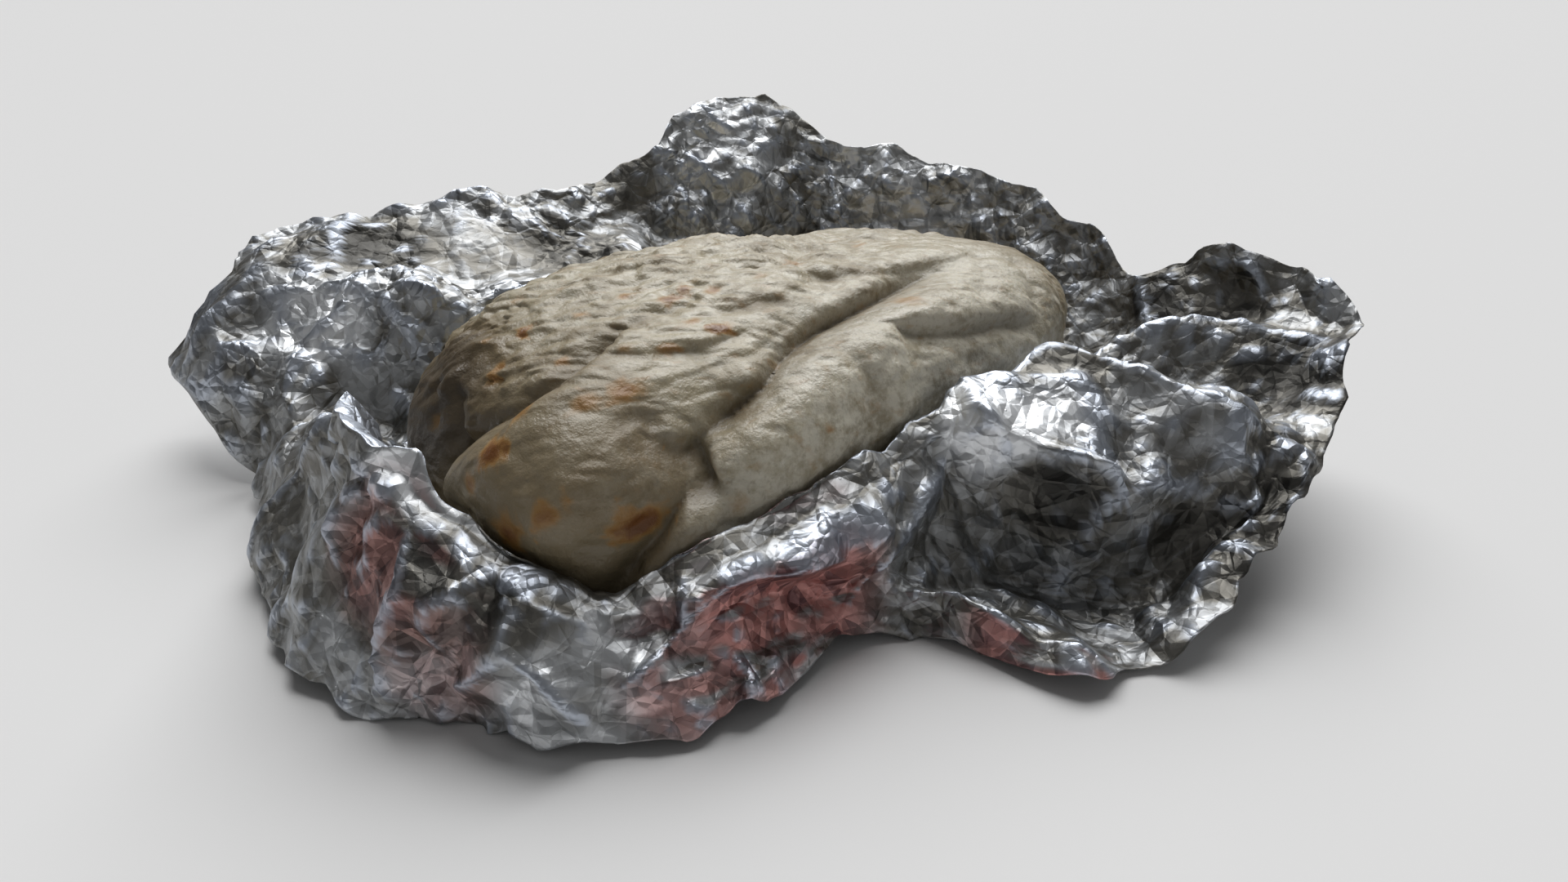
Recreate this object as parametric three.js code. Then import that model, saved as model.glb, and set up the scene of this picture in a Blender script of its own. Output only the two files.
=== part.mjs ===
// A folded burrito lying in the opened sheet of kitchen foil that it was wrapped in.
//
// Millimetres, +Z up. +X runs along the burrito, from the end with the tucked flap to the other end,
// and +Y runs across it. The foil's flat middle lies on z = 0 and the burrito lies on that.

import * as THREE from "three";
import { mergeVertices } from "three/addons/utils/BufferGeometryUtils.js";

// ---------------------------------------------------------------- the burrito's driving sizes

const BURRITO_HALF_LENGTH = 75;
const BURRITO_HALF_WIDTH = 46.3;
const CROWN_HEIGHT = 26.3; // from the middle up
const BELLY_DEPTH = 24; // from the middle down
const PLAN_SQUARENESS = 3.6; // 2 is an ellipse, more is closer to a box
const CROWN_SQUARENESS = 2.8;
const BELLY_SQUARENESS = 4;
const BURRITO_FACES = [38, 24, 9]; // quads along, across and up
const FOLD_CATCH = 2.2; // how near a corner of the mesh must be to be drawn onto a fold
const FOLD_PULL = 0.85; // the share of the way that it is drawn
const FOLD_ENDS = [-0.08, 0.16]; // a fold fades in over this share of its line, at both ends
const EDGE_ROUNDING = 1.5; // how softly a standing edge rises beside its fold
const CRACK = 3.2; // how much narrower the crack is at the bottom of a groove
const NARROWEST_CRACK = 1.5;
const BELLY_FADE = [-0.9, -0.5]; // relief ends between these shares of the belly's depth

// ---------------------------------------------------------------- the foil's driving sizes

const FOIL_THICKNESS = 0.7; // crumpled foil's own bulk: the bare sheet is far thinner
const REST_GAP = 0.3; // between the burrito and the foil's flat middle
const SIDE_GAP = 1.3; // between the burrito and the foil beside it
const FLOOR_SHARE = 0.82; // the flat middle's reach, as a share of the burrito's own outline
const CRADLE_SHARE = 0.97; // where the sheet has begun to climb
const CRADLE_HEIGHT = 4;
const COLUMNS = 112; // steps round the sheet
const ROWS_TO_RIM = 5; // steps up the wall beside the burrito
const ROWS_PER_SPAN = 3; // steps from each named fold to the next one out
const FACING_REACH = 3; // rows either side that set which way a crumple stands
const ROUNDNESS = 0.55; // 0 would leave the folds dead sharp, 1 makes them fully round
const CRUMPLES = [
  { cell: 32, height: 5, seed: 3 },
  { cell: 18, height: 3.2, seed: 8 },
];
const HEM_TEETH = { cell: 15, height: 3, seed: 5 };

// How the sheet runs outwards, at each angle round the burrito (degrees from +X towards +Y).
// Each pair is [reach from the middle, height]: the rim beside the burrito, the shoulder past it,
// the trough, the lip and the hem, where the sheet ends.
const SHEET_FOLDS = [
  { at: -165, rim: [83, 26], shoulder: [88, 24], trough: [94, 18], lip: [99, 10], hem: [105, 1] },
  { at: -157, rim: [82, 21], shoulder: [87, 19], trough: [91, 14], lip: [94, 8], hem: [99, 1] },
  { at: -150, rim: [79, 17], shoulder: [84, 16], trough: [88, 13], lip: [91, 8], hem: [96, 1] },
  { at: -143, rim: [74, 21], shoulder: [80, 18], trough: [83, 13], lip: [87, 7], hem: [92, 1] },
  { at: -134, rim: [67, 26], shoulder: [76, 21], trough: [73, 15], lip: [80, 7], hem: [88, 1] },
  { at: -126, rim: [60, 26], shoulder: [70, 20], trough: [65, 14], lip: [70, 7], hem: [77, 1] },
  { at: -118, rim: [54, 29], shoulder: [66, 18], trough: [61, 11], lip: [64, 6], hem: [69, 1] },
  { at: -110, rim: [52, 32], shoulder: [62, 20], trough: [59, 11], lip: [64, 6], hem: [67, 1] },
  { at: -105, rim: [51, 30], shoulder: [57, 25], trough: [60, 6], lip: [69, 8], hem: [72, 1] },
  { at: -102, rim: [50, 30], shoulder: [55, 26], trough: [62, 4], lip: [75, 8], hem: [81, 1] },
  { at: -98, rim: [50, 31], shoulder: [55, 27], trough: [65, 3], lip: [87, 8], hem: [94, 1] },
  { at: -94, rim: [49, 32], shoulder: [56, 29], trough: [67, 3], lip: [93, 7], hem: [97, 1] },
  { at: -87, rim: [51, 34], shoulder: [61, 32], trough: [70, 3], lip: [92, 4], hem: [103, 4] },
  { at: -80, rim: [53, 35], shoulder: [78, 29], trough: [84, 5], lip: [94, 5], hem: [108, 11] },
  { at: -74, rim: [55, 37], shoulder: [89, 24], trough: [94, 6], lip: [101, 7], hem: [110, 12] },
  { at: -66, rim: [58, 38], shoulder: [83, 32], trough: [100, 24], lip: [106, 13], hem: [113, 15] },
  { at: -60, rim: [61, 39], shoulder: [79, 37], trough: [92, 31], lip: [103, 25], hem: [114, 20] },
  { at: -54, rim: [65, 36], shoulder: [80, 26], trough: [93, 20], lip: [105, 19], hem: [117, 25] },
  { at: -47, rim: [71, 33], shoulder: [84, 24], trough: [98, 20], lip: [112, 24], hem: [122, 34] },
  { at: -40, rim: [78, 34], shoulder: [91, 35], trough: [104, 34], lip: [118, 33], hem: [131, 37] },
  { at: -34, rim: [83, 25], shoulder: [93, 22], trough: [103, 23], lip: [113, 33], hem: [120, 45] },
  { at: -27, rim: [86, 20], shoulder: [94, 20], trough: [101, 27], lip: [107, 40], hem: [111, 48] },
  { at: -19, rim: [84, 17], shoulder: [90, 17], trough: [96, 20], lip: [100, 26], hem: [104, 33] },
  { at: -8, rim: [83, 16], shoulder: [89, 23], trough: [94, 31], lip: [99, 38], hem: [103, 43] },
  { at: 8, rim: [83, 15], shoulder: [88, 24], trough: [92, 33], lip: [96, 42], hem: [100, 49] },
  { at: 24, rim: [82, 15], shoulder: [87, 25], trough: [92, 36], lip: [97, 46], hem: [101, 53] },
  { at: 38, rim: [76, 16], shoulder: [84, 29], trough: [91, 41], lip: [97, 52], hem: [101, 60] },
  { at: 49, rim: [68, 18], shoulder: [78, 33], trough: [87, 47], lip: [95, 60], hem: [100, 68] },
  { at: 59, rim: [62, 22], shoulder: [72, 35], trough: [80, 47], lip: [88, 58], hem: [94, 65] },
  { at: 70, rim: [56, 30], shoulder: [64, 36], trough: [71, 41], lip: [79, 46], hem: [87, 51] },
  { at: 86, rim: [52, 34], shoulder: [59, 37], trough: [67, 40], lip: [76, 44], hem: [85, 48] },
  { at: 102, rim: [54, 36], shoulder: [63, 37], trough: [73, 40], lip: [85, 43], hem: [98, 47] },
  { at: 116, rim: [59, 37], shoulder: [72, 36], trough: [88, 37], lip: [110, 43], hem: [130, 45] },
  { at: 121, rim: [61, 37], shoulder: [75, 37], trough: [92, 38], lip: [115, 43], hem: [135, 41] },
  { at: 126, rim: [63, 37], shoulder: [76, 40], trough: [91, 38], lip: [122, 37], hem: [133, 31] },
  { at: 130, rim: [64, 36], shoulder: [77, 38], trough: [92, 33], lip: [126, 25], hem: [143, 15] },
  { at: 134, rim: [68, 26], shoulder: [79, 28], trough: [94, 24], lip: [118, 23], hem: [131, 12] },
  { at: 140, rim: [74, 14], shoulder: [84, 12], trough: [95, 15], lip: [106, 21], hem: [119, 7] },
  { at: 154, rim: [82, 19], shoulder: [88, 21], trough: [94, 22], lip: [100, 15], hem: [107, 3] },
  { at: 169, rim: [86, 40], shoulder: [90, 33], trough: [95, 24], lip: [102, 13], hem: [109, 1] },
  { at: 181, rim: [87, 42], shoulder: [91, 35], trough: [96, 26], lip: [103, 13], hem: [111, 1] },
];

// Large creases of the sheet. Each is a line of [angle in degrees, folds out from the flat middle], where
// 2 is the rim and 6 is the hem. The sheet stands up by height along it, and falls off over width.
const SHEET_CREASES = [
  {
    // ridge down the raised corner
    height: 2.5,
    width: 4,
    line: [[-64, 2.46], [-68, 2.58], [-73.5, 2.58], [-78.5, 2.9], [-77.5, 3.2]],
  },
  {
    // its lower edge
    height: 2.2,
    width: 3.5,
    line: [
      [-87.5, 2.96], [-84, 3.2], [-80, 3.04], [-78, 3.25], [-73.8, 3.1], [-71, 3.46], [-67, 3.83],
      [-66, 4.5],
    ],
  },
  {
    // its right ridge
    height: 3,
    width: 4.5,
    line: [[-60, 2.3], [-62, 3.25], [-63.8, 3.83], [-62.5, 4.54], [-62, 5.46]],
  },
  {
    // next ridge
    height: 2.6,
    width: 5,
    line: [[-42, 2.3], [-40.5, 3.2], [-39.5, 4], [-41, 4.8], [-45, 5.9]],
  },
  {
    // edge of the collar
    height: 3,
    width: 4,
    line: [
      [-82, 2.4], [-87, 2.83], [-90.5, 3.17], [-95.2, 3.29], [-102.2, 3.42], [-108.3, 3.54],
      [-116.8, 5],
    ],
  },
  {
    // corner of the scoop
    height: -2.5,
    width: 4,
    line: [[-86, 3.2], [-85, 3.42], [-84.2, 3.67], [-82.5, 3.83], [-86.5, 4.62]],
  },
  {
    // hollow of the scoop
    height: -4.5,
    width: 8,
    line: [[-96, 2.9], [-91, 3.2], [-88, 3.5], [-84, 3.9], [-80, 4.5]],
  },
  {
    // first ridge in the scoop
    height: 2.5,
    width: 3.5,
    line: [[-78, 3.25], [-78.8, 3.46], [-80.8, 3.75], [-83.5, 4.38]],
  },
  {
    // second ridge in the scoop
    height: 2,
    width: 3.5,
    line: [[-71, 3.5], [-74.8, 3.45], [-75, 3.62], [-77.5, 4.75]],
  },
  { height: 2, width: 3.5, line: [[-66, 4.46], [-67.8, 4.62], [-72, 5.54]] }, // third ridge in the scoop
  {
    // fold above the lip
    height: 2.6,
    width: 3,
    line: [[-87, 4.75], [-82.8, 4.88], [-79.8, 5.08], [-77.8, 5.29], [-76, 5.8]],
  },
  {
    // crest of the lip
    height: 1.6,
    width: 3,
    line: [[-108, 5.2], [-105.8, 5], [-100.2, 4.79], [-97.2, 4.83], [-95.8, 5.25], [-93.2, 5.7]],
  },
  {
    // ridge of the broad flap
    height: 4,
    width: 7,
    line: [[133, 5.8], [132, 5.2], [129, 4.8], [128, 4.2], [125, 3.6], [115, 3.9]],
  },
  { height: 3, width: 5, line: [[129, 4.2], [132, 3.4], [134, 2.7]] }, // its fold at the pocket
  {
    // ridge of the small wing
    height: 2.4,
    width: 4,
    line: [[134, 5.3], [135, 4.9], [137, 4.3], [140, 4]],
  },
  {
    // edge below the ear
    height: 2.6,
    width: 5,
    line: [[172, 2.3], [166, 3.4], [161, 4.4], [160, 5.2], [164, 5.8]],
  },
  {
    // near wall's eave
    height: 2.2,
    width: 3.5,
    line: [
      [-175.5, 3.8], [-172, 3.25], [-168.8, 3.1], [-165.8, 2.67], [-161.5, 3], [-157, 2.83],
      [-150, 3.38], [-143, 3.2],
    ],
  },
  {
    // ridge down the near wall
    height: 4,
    width: 4.5,
    line: [[-168.8, 3.1], [-167, 3.75], [-167.8, 4.4], [-169, 4.9], [-166.5, 5.8]],
  },
  { height: 2, width: 3.5, line: [[-161, 3], [-163.5, 3.9], [-165, 4.5]] }, // facet beside it
  {
    // tent at the near wall's foot
    height: 3.5,
    width: 4.5,
    line: [
      [-162.5, 5.9], [-162.2, 5.4], [-158, 4.83], [-154.5, 4.3], [-151.8, 4.6], [-149, 5.25],
      [-146.8, 5.67],
    ],
  },
  {
    // valley beside the hollow panel
    height: -3,
    width: 4.5,
    line: [[-142.7, 2.67], [-143.5, 3.6], [-144.8, 4.5], [-146, 5.25], [-147, 5.6]],
  },
  {
    // eave of the hollow panel
    height: 3,
    width: 3.5,
    line: [[-122, 2.8], [-131, 2.96], [-136, 3.3], [-140, 3.9], [-142.7, 4.5], [-145.5, 5.2]],
  },
  { height: 3, width: 6, line: [[70, 5.9], [62, 4.8], [54, 3.6], [47, 2.8]] }, // fold beside the back wall
  { height: 3.2, width: 5, line: [[38, 5.9], [36, 5], [34, 4.2], [31, 3.4]] }, // crease of the back wall
];
const CREASE_ENDS = [-0.1, 0.2]; // a crease fades in over this share of its line, at both ends

// ---------------------------------------------------------------- the burrito's folds

// Each fold is a line over the tortilla, mm from the burrito's middle. The side to the left of the
// line's run stands up by lift and fades over spread. The line itself sinks by depth over width.
const FOLDS = [
  {
    // the tucked flap's left edge, over the near end
    line: [
      [-40, -9, 25], [-51, -13, 24], [-60, -15, 21], [-67, -12, 16], [-70, -5, 10], [-72, 0, 4],
      [-73, 1, -6],
    ],
    depth: 6,
    width: 3.6,
    lift: 4.4,
    spread: 11,
  },
  {
    // the right-hand roll's inner edge, the deepest fold
    line: [
      [24, -21, 24], [8, -28, 22], [-8, -28, 20], [-21, -32, 19], [-28, -35, 17], [-39, -38, 15],
      [-49, -37, 12],
    ],
    depth: 8,
    width: 3.6,
    lift: 2.8,
    spread: 8,
  },
  {
    // the roll's end, folded down over the tucked flap
    line: [[-49, -37, 12], [-48, -39, 9], [-47, -43, 6], [-53, -41, 4], [-59, -39, -1], [-65, -36, -10]],
    depth: 4.2,
    width: 2.6,
    lift: 2.6,
    spread: 7,
  },
  {
    // the pleat along the top of the tucked flap
    line: [[-63, -30, 17], [-58, -33, 15], [-56, -36, 12], [-52, -39, 9], [-48, -43, 6]],
    depth: 4,
    width: 3.4,
    lift: -1.2,
    spread: 6,
  },
  {
    // the top sheet's free edge, running to the far end
    line: [[2, -10, 26], [6, -15, 25], [14, -19, 24], [25, -22, 24], [38, -23, 23], [50, -21, 22]],
    depth: 2.4,
    width: 3.4,
    lift: 1.6,
    spread: 9,
  },
  {
    // the small lobe low on the roll
    line: [[2, -37, 21], [9, -40, 19], [20, -42, 17], [30, -42, 16], [44, -42, 12]],
    depth: 3,
    width: 2.4,
    lift: 1.8,
    spread: 7,
  },
  {
    // the groove down the near end, left of the flap
    line: [[-69, 10, 15], [-71, 5, 11], [-73, 3, 7], [-74, 0, 1], [-74, -1, -9]],
    depth: 3.6,
    width: 2.8,
    lift: 1,
    spread: 5,
  },
  {
    // the crease across the top, behind the flap
    line: [[-50, -15, 24], [-45, -20, 24], [-34, -24, 23], [-21, -23, 23]],
    depth: 2.4,
    width: 3.4,
    lift: 1.2,
    spread: 8,
  },
  {
    // the flap's edge, running on over the top
    line: [[-40, -9, 25], [-34, -9, 26], [-26, -9, 27]],
    depth: 1.8,
    width: 3,
    lift: 1,
    spread: 7,
  },
  {
    // the edge of the flap at the far end
    line: [[38, 8, 24], [48, 10, 22], [59, 6, 21], [62, -5, 20], [63, -16, 19]],
    depth: 1.6,
    width: 2.4,
    lift: -1.6,
    spread: 6,
  },
];

// Swellings and hollows of the filling: where, how wide and how high, from the burrito's middle.
const SWELLINGS = [
  { at: [-66, -28, 6], radius: 17, height: 5 }, // dome of the tucked flap
  { at: [-22, -41, 17], radius: 17, height: 3.5 }, // roll, near half
  { at: [14, -38, 18], radius: 19, height: 3.5 }, // roll, middle
  { at: [44, -32, 16], radius: 20, height: 3 }, // roll, far half
  { at: [-55, -14, 23], radius: 13, height: 2.5 }, // back of the flap
  { at: [-18, 8, 26], radius: 30, height: 2 }, // top
  { at: [36, 6, 25], radius: 20, height: -4 }, // sunken far end of the top
  { at: [40, 36, 19], radius: 20, height: -8 }, // far end's back corner
  { at: [60, 24, 18], radius: 12, height: -3 }, // back of the far end
  { at: [-40, -31, 20], radius: 12, height: -4 }, // slope down to the roll
  { at: [-20, -27, 23], radius: 12, height: -3 }, // same slope, further on
  { at: [64, -20, 15], radius: 14, height: 3 }, // far end's fold
  { at: [-66, 34, 12], radius: 16, height: -4 }, // pulled in near corner
];

// ---------------------------------------------------------------- small helpers

const toRadians = THREE.MathUtils.degToRad;

// 0 below the first value, 1 above the second, smooth between them.
const ease = (low, high, value) => THREE.MathUtils.smoothstep(value, low, high);

// A steady random number from -1 to 1 for a corner of the net below.
function cornerHeight(corner, seed) {
  const sum = corner[0] * 127.1 + corner[1] * 311.7 + corner[2] * 74.7 + seed * 19.3;
  const wave = Math.sin(sum) * 43758.5453;
  return 2 * (wave - Math.floor(wave)) - 1;
}

// The way the net below is turned, so that no crease of it follows an axis.
const TURN = new THREE.Matrix3(0.36, -0.8, 0.48, 0.48, 0.6, 0.64, -0.8, 0, 0.6);

// Flat facets with sharp creases between them, from -1 to 1. The corners of a net of tetrahedra have
// random heights, and the heights run evenly from corner to corner.
function facets(point, cell, seed) {
  const turned = point.clone().applyMatrix3(TURN).toArray();
  const bent = turned.map((value, i) => {
    return value + 0.22 * cell * Math.sin((turned[(i + 1) % 3] * 2.4) / cell + seed);
  });
  const lean = (bent[0] + bent[1] + bent[2]) / 3;
  const place = bent.map((value) => (value + lean) / cell);
  const corner = place.map(Math.floor);
  const inside = place.map((value, i) => value - corner[i]);
  const order = [0, 1, 2].sort((a, b) => inside[b] - inside[a]);
  const shares = [1, ...order.map((i) => inside[i]), 0];
  let height = cornerHeight(corner, seed) * (shares[0] - shares[1]);
  order.forEach((axis, step) => {
    corner[axis] += 1;
    height += cornerHeight(corner, seed) * (shares[step + 1] - shares[step + 2]);
  });
  return height;
}

// The place on a line of points that is nearest to a point, and how far along the line it is.
function nearestOnLine(line, point) {
  const segment = new THREE.Line3();
  const place = { distance: Infinity };
  for (let i = 0; i + 1 < line.length; i++) {
    segment.set(line[i], line[i + 1]);
    const share = segment.closestPointToPointParameter(point, true);
    const nearest = segment.at(share, new THREE.Vector3());
    const distance = nearest.distanceTo(point);
    if (distance >= place.distance) continue;
    const run = segment.delta(new THREE.Vector3());
    Object.assign(place, { nearest, distance, run, travel: (i + share) / (line.length - 1) });
  }
  return place;
}

// A share that fades in and out at the two ends of a line.
const fadeEnds = (ends, travel) => ease(...ends, travel) * ease(...ends, 1 - travel);

// ---------------------------------------------------------------- the burrito's surface

const BURRITO_MIDDLE = new THREE.Vector3(0, 0, FOIL_THICKNESS + REST_GAP + BELLY_DEPTH);

// How far the plain loaf reaches from its middle in a direction: a rounded box of unequal halves.
function loafReach(direction) {
  const height = direction.z > 0 ? CROWN_HEIGHT : BELLY_DEPTH;
  const squareness = direction.z > 0 ? CROWN_SQUARENESS : BELLY_SQUARENESS;
  const plan =
    Math.abs(direction.x / BURRITO_HALF_LENGTH) ** PLAN_SQUARENESS +
    Math.abs(direction.y / BURRITO_HALF_WIDTH) ** PLAN_SQUARENESS;
  const sum = plan ** (squareness / PLAN_SQUARENESS) + Math.abs(direction.z / height) ** squareness;
  return sum ** (-1 / squareness);
}

// A point given from the burrito's middle, moved straight out or in until it lies on the plain loaf.
function ontoLoaf(point) {
  const direction = new THREE.Vector3(...point).normalize();
  return direction.multiplyScalar(loafReach(direction));
}

const foldLines = FOLDS.map((fold) => ({ ...fold, line: fold.line.map(ontoLoaf) }));

const swellings = SWELLINGS.map((swelling) => ({ ...swelling, at: ontoLoaf(swelling.at) }));

// What one fold adds at a point of the loaf.
function foldRelief(fold, point) {
  const { nearest, distance, run, travel } = nearestOnLine(fold.line, point);
  const side = run.cross(point.clone().sub(nearest)).dot(point) > 0 ? 1 : -1;
  const bowl = 0.5 * Math.exp(-((distance / fold.width) ** 2));
  const crack = 0.5 * Math.exp(-distance / Math.max(fold.width / CRACK, NARROWEST_CRACK));
  const rise = 1 - Math.exp(-distance / EDGE_ROUNDING);
  const shelf = side * fold.lift * rise * Math.exp(-distance / fold.spread);
  const groove = fold.depth * (bowl + crack);
  return fadeEnds([0, FOLD_ENDS[1]], travel) * shelf - fadeEnds(FOLD_ENDS, travel) * groove;
}

// How far the burrito reaches from its middle in a direction, with its folds and swellings.
function burritoReach(direction) {
  const point = direction.clone().multiplyScalar(loafReach(direction));
  let relief = 0;
  for (const fold of foldLines) relief += foldRelief(fold, point);
  for (const swelling of swellings) {
    relief += swelling.height * Math.exp(-((point.distanceTo(swelling.at) / swelling.radius) ** 2));
  }
  const [bare, full] = BELLY_FADE;
  return point.length() + relief * ease(bare * BELLY_DEPTH, full * BELLY_DEPTH, point.z);
}

// A point of the loaf, drawn onto a fold's line when it lies close by, so that an edge runs along it.
function drawnToFolds(point) {
  const places = foldLines.map((fold) => nearestOnLine(fold.line, point));
  const closest = places.reduce((best, place) => (place.distance < best.distance ? place : best));
  return closest.distance < FOLD_CATCH ? point.clone().lerp(closest.nearest, FOLD_PULL) : point;
}

// ---------------------------------------------------------------- the two pieces' shapes

function burritoGeometry() {
  const size = [2 * BURRITO_HALF_LENGTH, 2 * BURRITO_HALF_WIDTH, CROWN_HEIGHT + BELLY_DEPTH];
  const box = new THREE.BoxGeometry(...size, ...BURRITO_FACES);
  box.deleteAttribute("normal");
  box.deleteAttribute("uv");
  const geometry = mergeVertices(box);
  const position = geometry.getAttribute("position");
  const point = new THREE.Vector3();
  for (let i = 0; i < position.count; i++) {
    point.copy(drawnToFolds(ontoLoaf(point.fromBufferAttribute(position, i)))).normalize();
    point.multiplyScalar(burritoReach(point)).add(BURRITO_MIDDLE);
    position.setXYZ(i, point.x, point.y, point.z);
  }
  geometry.computeVertexNormals();
  return geometry;
}

// The burrito's outline in plan, as its reach from the middle at an angle.
function outlineReach(angle) {
  return loafReach(new THREE.Vector3(Math.cos(angle), Math.sin(angle), 0));
}

// A fold's values at any angle round the sheet, on a smooth curve through the stations.
function foldAt(name, angle) {
  const count = SHEET_FOLDS.length;
  const turn = THREE.MathUtils.euclideanModulo(angle - toRadians(SHEET_FOLDS[0].at), 2 * Math.PI);
  const placed = (i) => {
    const station = SHEET_FOLDS[THREE.MathUtils.euclideanModulo(i, count)];
    const laps = Math.floor(i / count);
    const at = toRadians(station.at - SHEET_FOLDS[0].at) + 2 * Math.PI * laps;
    const beyond = station[name][0] - outlineReach(toRadians(station.at));
    return { at, beyond, height: station[name][1] };
  };
  let i = 0;
  while (placed(i + 1).at <= turn) i++;
  const [before, from, to, after] = [placed(i - 1), placed(i), placed(i + 1), placed(i + 2)];
  const share = (turn - from.at) / (to.at - from.at);
  const blend = (key) => {
    const span = to.at - from.at;
    const slopeIn = (span * (to[key] - before[key])) / (to.at - before.at);
    const slopeOut = (span * (after[key] - from[key])) / (after.at - from.at);
    const s2 = share * share;
    const s3 = s2 * share;
    return (
      (2 * s3 - 3 * s2 + 1) * from[key] +
      (s3 - 2 * s2 + share) * slopeIn +
      (3 * s2 - 2 * s3) * to[key] +
      (s3 - s2) * slopeOut
    );
  };
  return new THREE.Vector2(outlineReach(angle) + blend("beyond"), blend("height"));
}

// The sheet's profile at an angle, from the edge of its flat middle out to its hem.
function profileAt(angle) {
  const outline = outlineReach(angle);
  const rim = foldAt("rim", angle);
  const lip = foldAt("lip", angle);
  const hem = foldAt("hem", angle);
  const edge = new THREE.Vector3(hem.x * Math.cos(angle), hem.x * Math.sin(angle), hem.y);
  const tooth = HEM_TEETH.height * facets(edge, HEM_TEETH.cell, HEM_TEETH.seed);
  hem.add(hem.clone().sub(lip).setLength(tooth));
  return [
    new THREE.Vector2(FLOOR_SHARE * outline, 0),
    new THREE.Vector2(CRADLE_SHARE * outline, CRADLE_HEIGHT),
    rim,
    foldAt("shoulder", angle),
    foldAt("trough", angle),
    lip,
    hem,
  ];
}

// The slope of the profile's curve at the second of three of its points.
function slopeAt(before, point, after) {
  const first = Math.sqrt(point.distanceTo(before));
  const second = Math.sqrt(after.distanceTo(point));
  const slope = point.clone().sub(before).divideScalar(first);
  slope.sub(after.clone().sub(before).divideScalar(first + second));
  return slope.add(after.clone().sub(point).divideScalar(second)).multiplyScalar(ROUNDNESS);
}

// A place on the profile, so many folds out. It is a smooth curve, pulled towards straight runs.
function alongProfile(profile, share) {
  const count = profile.length;
  const placed = (i) => {
    if (i < 0) return profile[0].clone().multiplyScalar(2).sub(profile[1]);
    if (i >= count) return profile[count - 1].clone().multiplyScalar(2).sub(profile[count - 2]);
    return profile[i];
  };
  const i = Math.min(Math.floor(share), count - 2);
  const [from, to] = [placed(i), placed(i + 1)];
  const pace = Math.sqrt(from.distanceTo(to));
  const out = slopeAt(placed(i - 1), from, to).multiplyScalar(pace);
  const into = slopeAt(from, to, placed(i + 2)).multiplyScalar(pace);
  const t = share - i;
  const place = from.clone().multiplyScalar(2 * t ** 3 - 3 * t ** 2 + 1);
  place.add(out.multiplyScalar(t ** 3 - 2 * t ** 2 + t));
  place.add(to.clone().multiplyScalar(3 * t ** 2 - 2 * t ** 3));
  return place.add(into.multiplyScalar(t ** 3 - t ** 2));
}

// The foil's upper side at an angle: its rows, each with how far along the sheet it is.
function sheetColumn(angle) {
  const profile = profileAt(angle);
  const spans = profile.length - 1;
  const shares = [0];
  for (let i = 1; i <= ROWS_TO_RIM; i++) shares.push((2 * i) / ROWS_TO_RIM);
  for (let i = 1; i <= ROWS_PER_SPAN * (spans - 2); i++) shares.push(2 + i / ROWS_PER_SPAN);
  let unrolled = profile[0].x;
  let last = profile[0];
  return shares.map((share) => {
    const { x: reach, y: height } = alongProfile(profile, share);
    const point = new THREE.Vector2(reach, height);
    unrolled += point.distanceTo(last);
    last = point;
    return { share, reach, height, unrolled };
  });
}

// The place on the flat, unrolled sheet at an angle, so many folds out.
function flatPlace([degrees, share]) {
  const angle = toRadians(degrees);
  const column = sheetColumn(angle);
  const j = Math.max(column.findIndex((place) => place.share >= share), 1);
  const [before, after] = [column[j - 1], column[j]];
  const part = (share - before.share) / (after.share - before.share);
  const unrolled = THREE.MathUtils.lerp(before.unrolled, after.unrolled, part);
  return new THREE.Vector3(unrolled * Math.cos(angle), unrolled * Math.sin(angle), 0);
}

// Moves a point of the foil out until it clears the burrito. The sheet bridges the burrito's grooves.
function clearOfBurrito(point) {
  const arm = point.clone().sub(BURRITO_MIDDLE);
  const length = arm.length();
  const direction = arm.clone().divideScalar(length);
  const reach = Math.max(burritoReach(direction), loafReach(direction));
  const clear = reach + SIDE_GAP + FOIL_THICKNESS;
  if (length < clear) point.copy(arm.multiplyScalar(clear / length).add(BURRITO_MIDDLE));
  return point;
}

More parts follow.
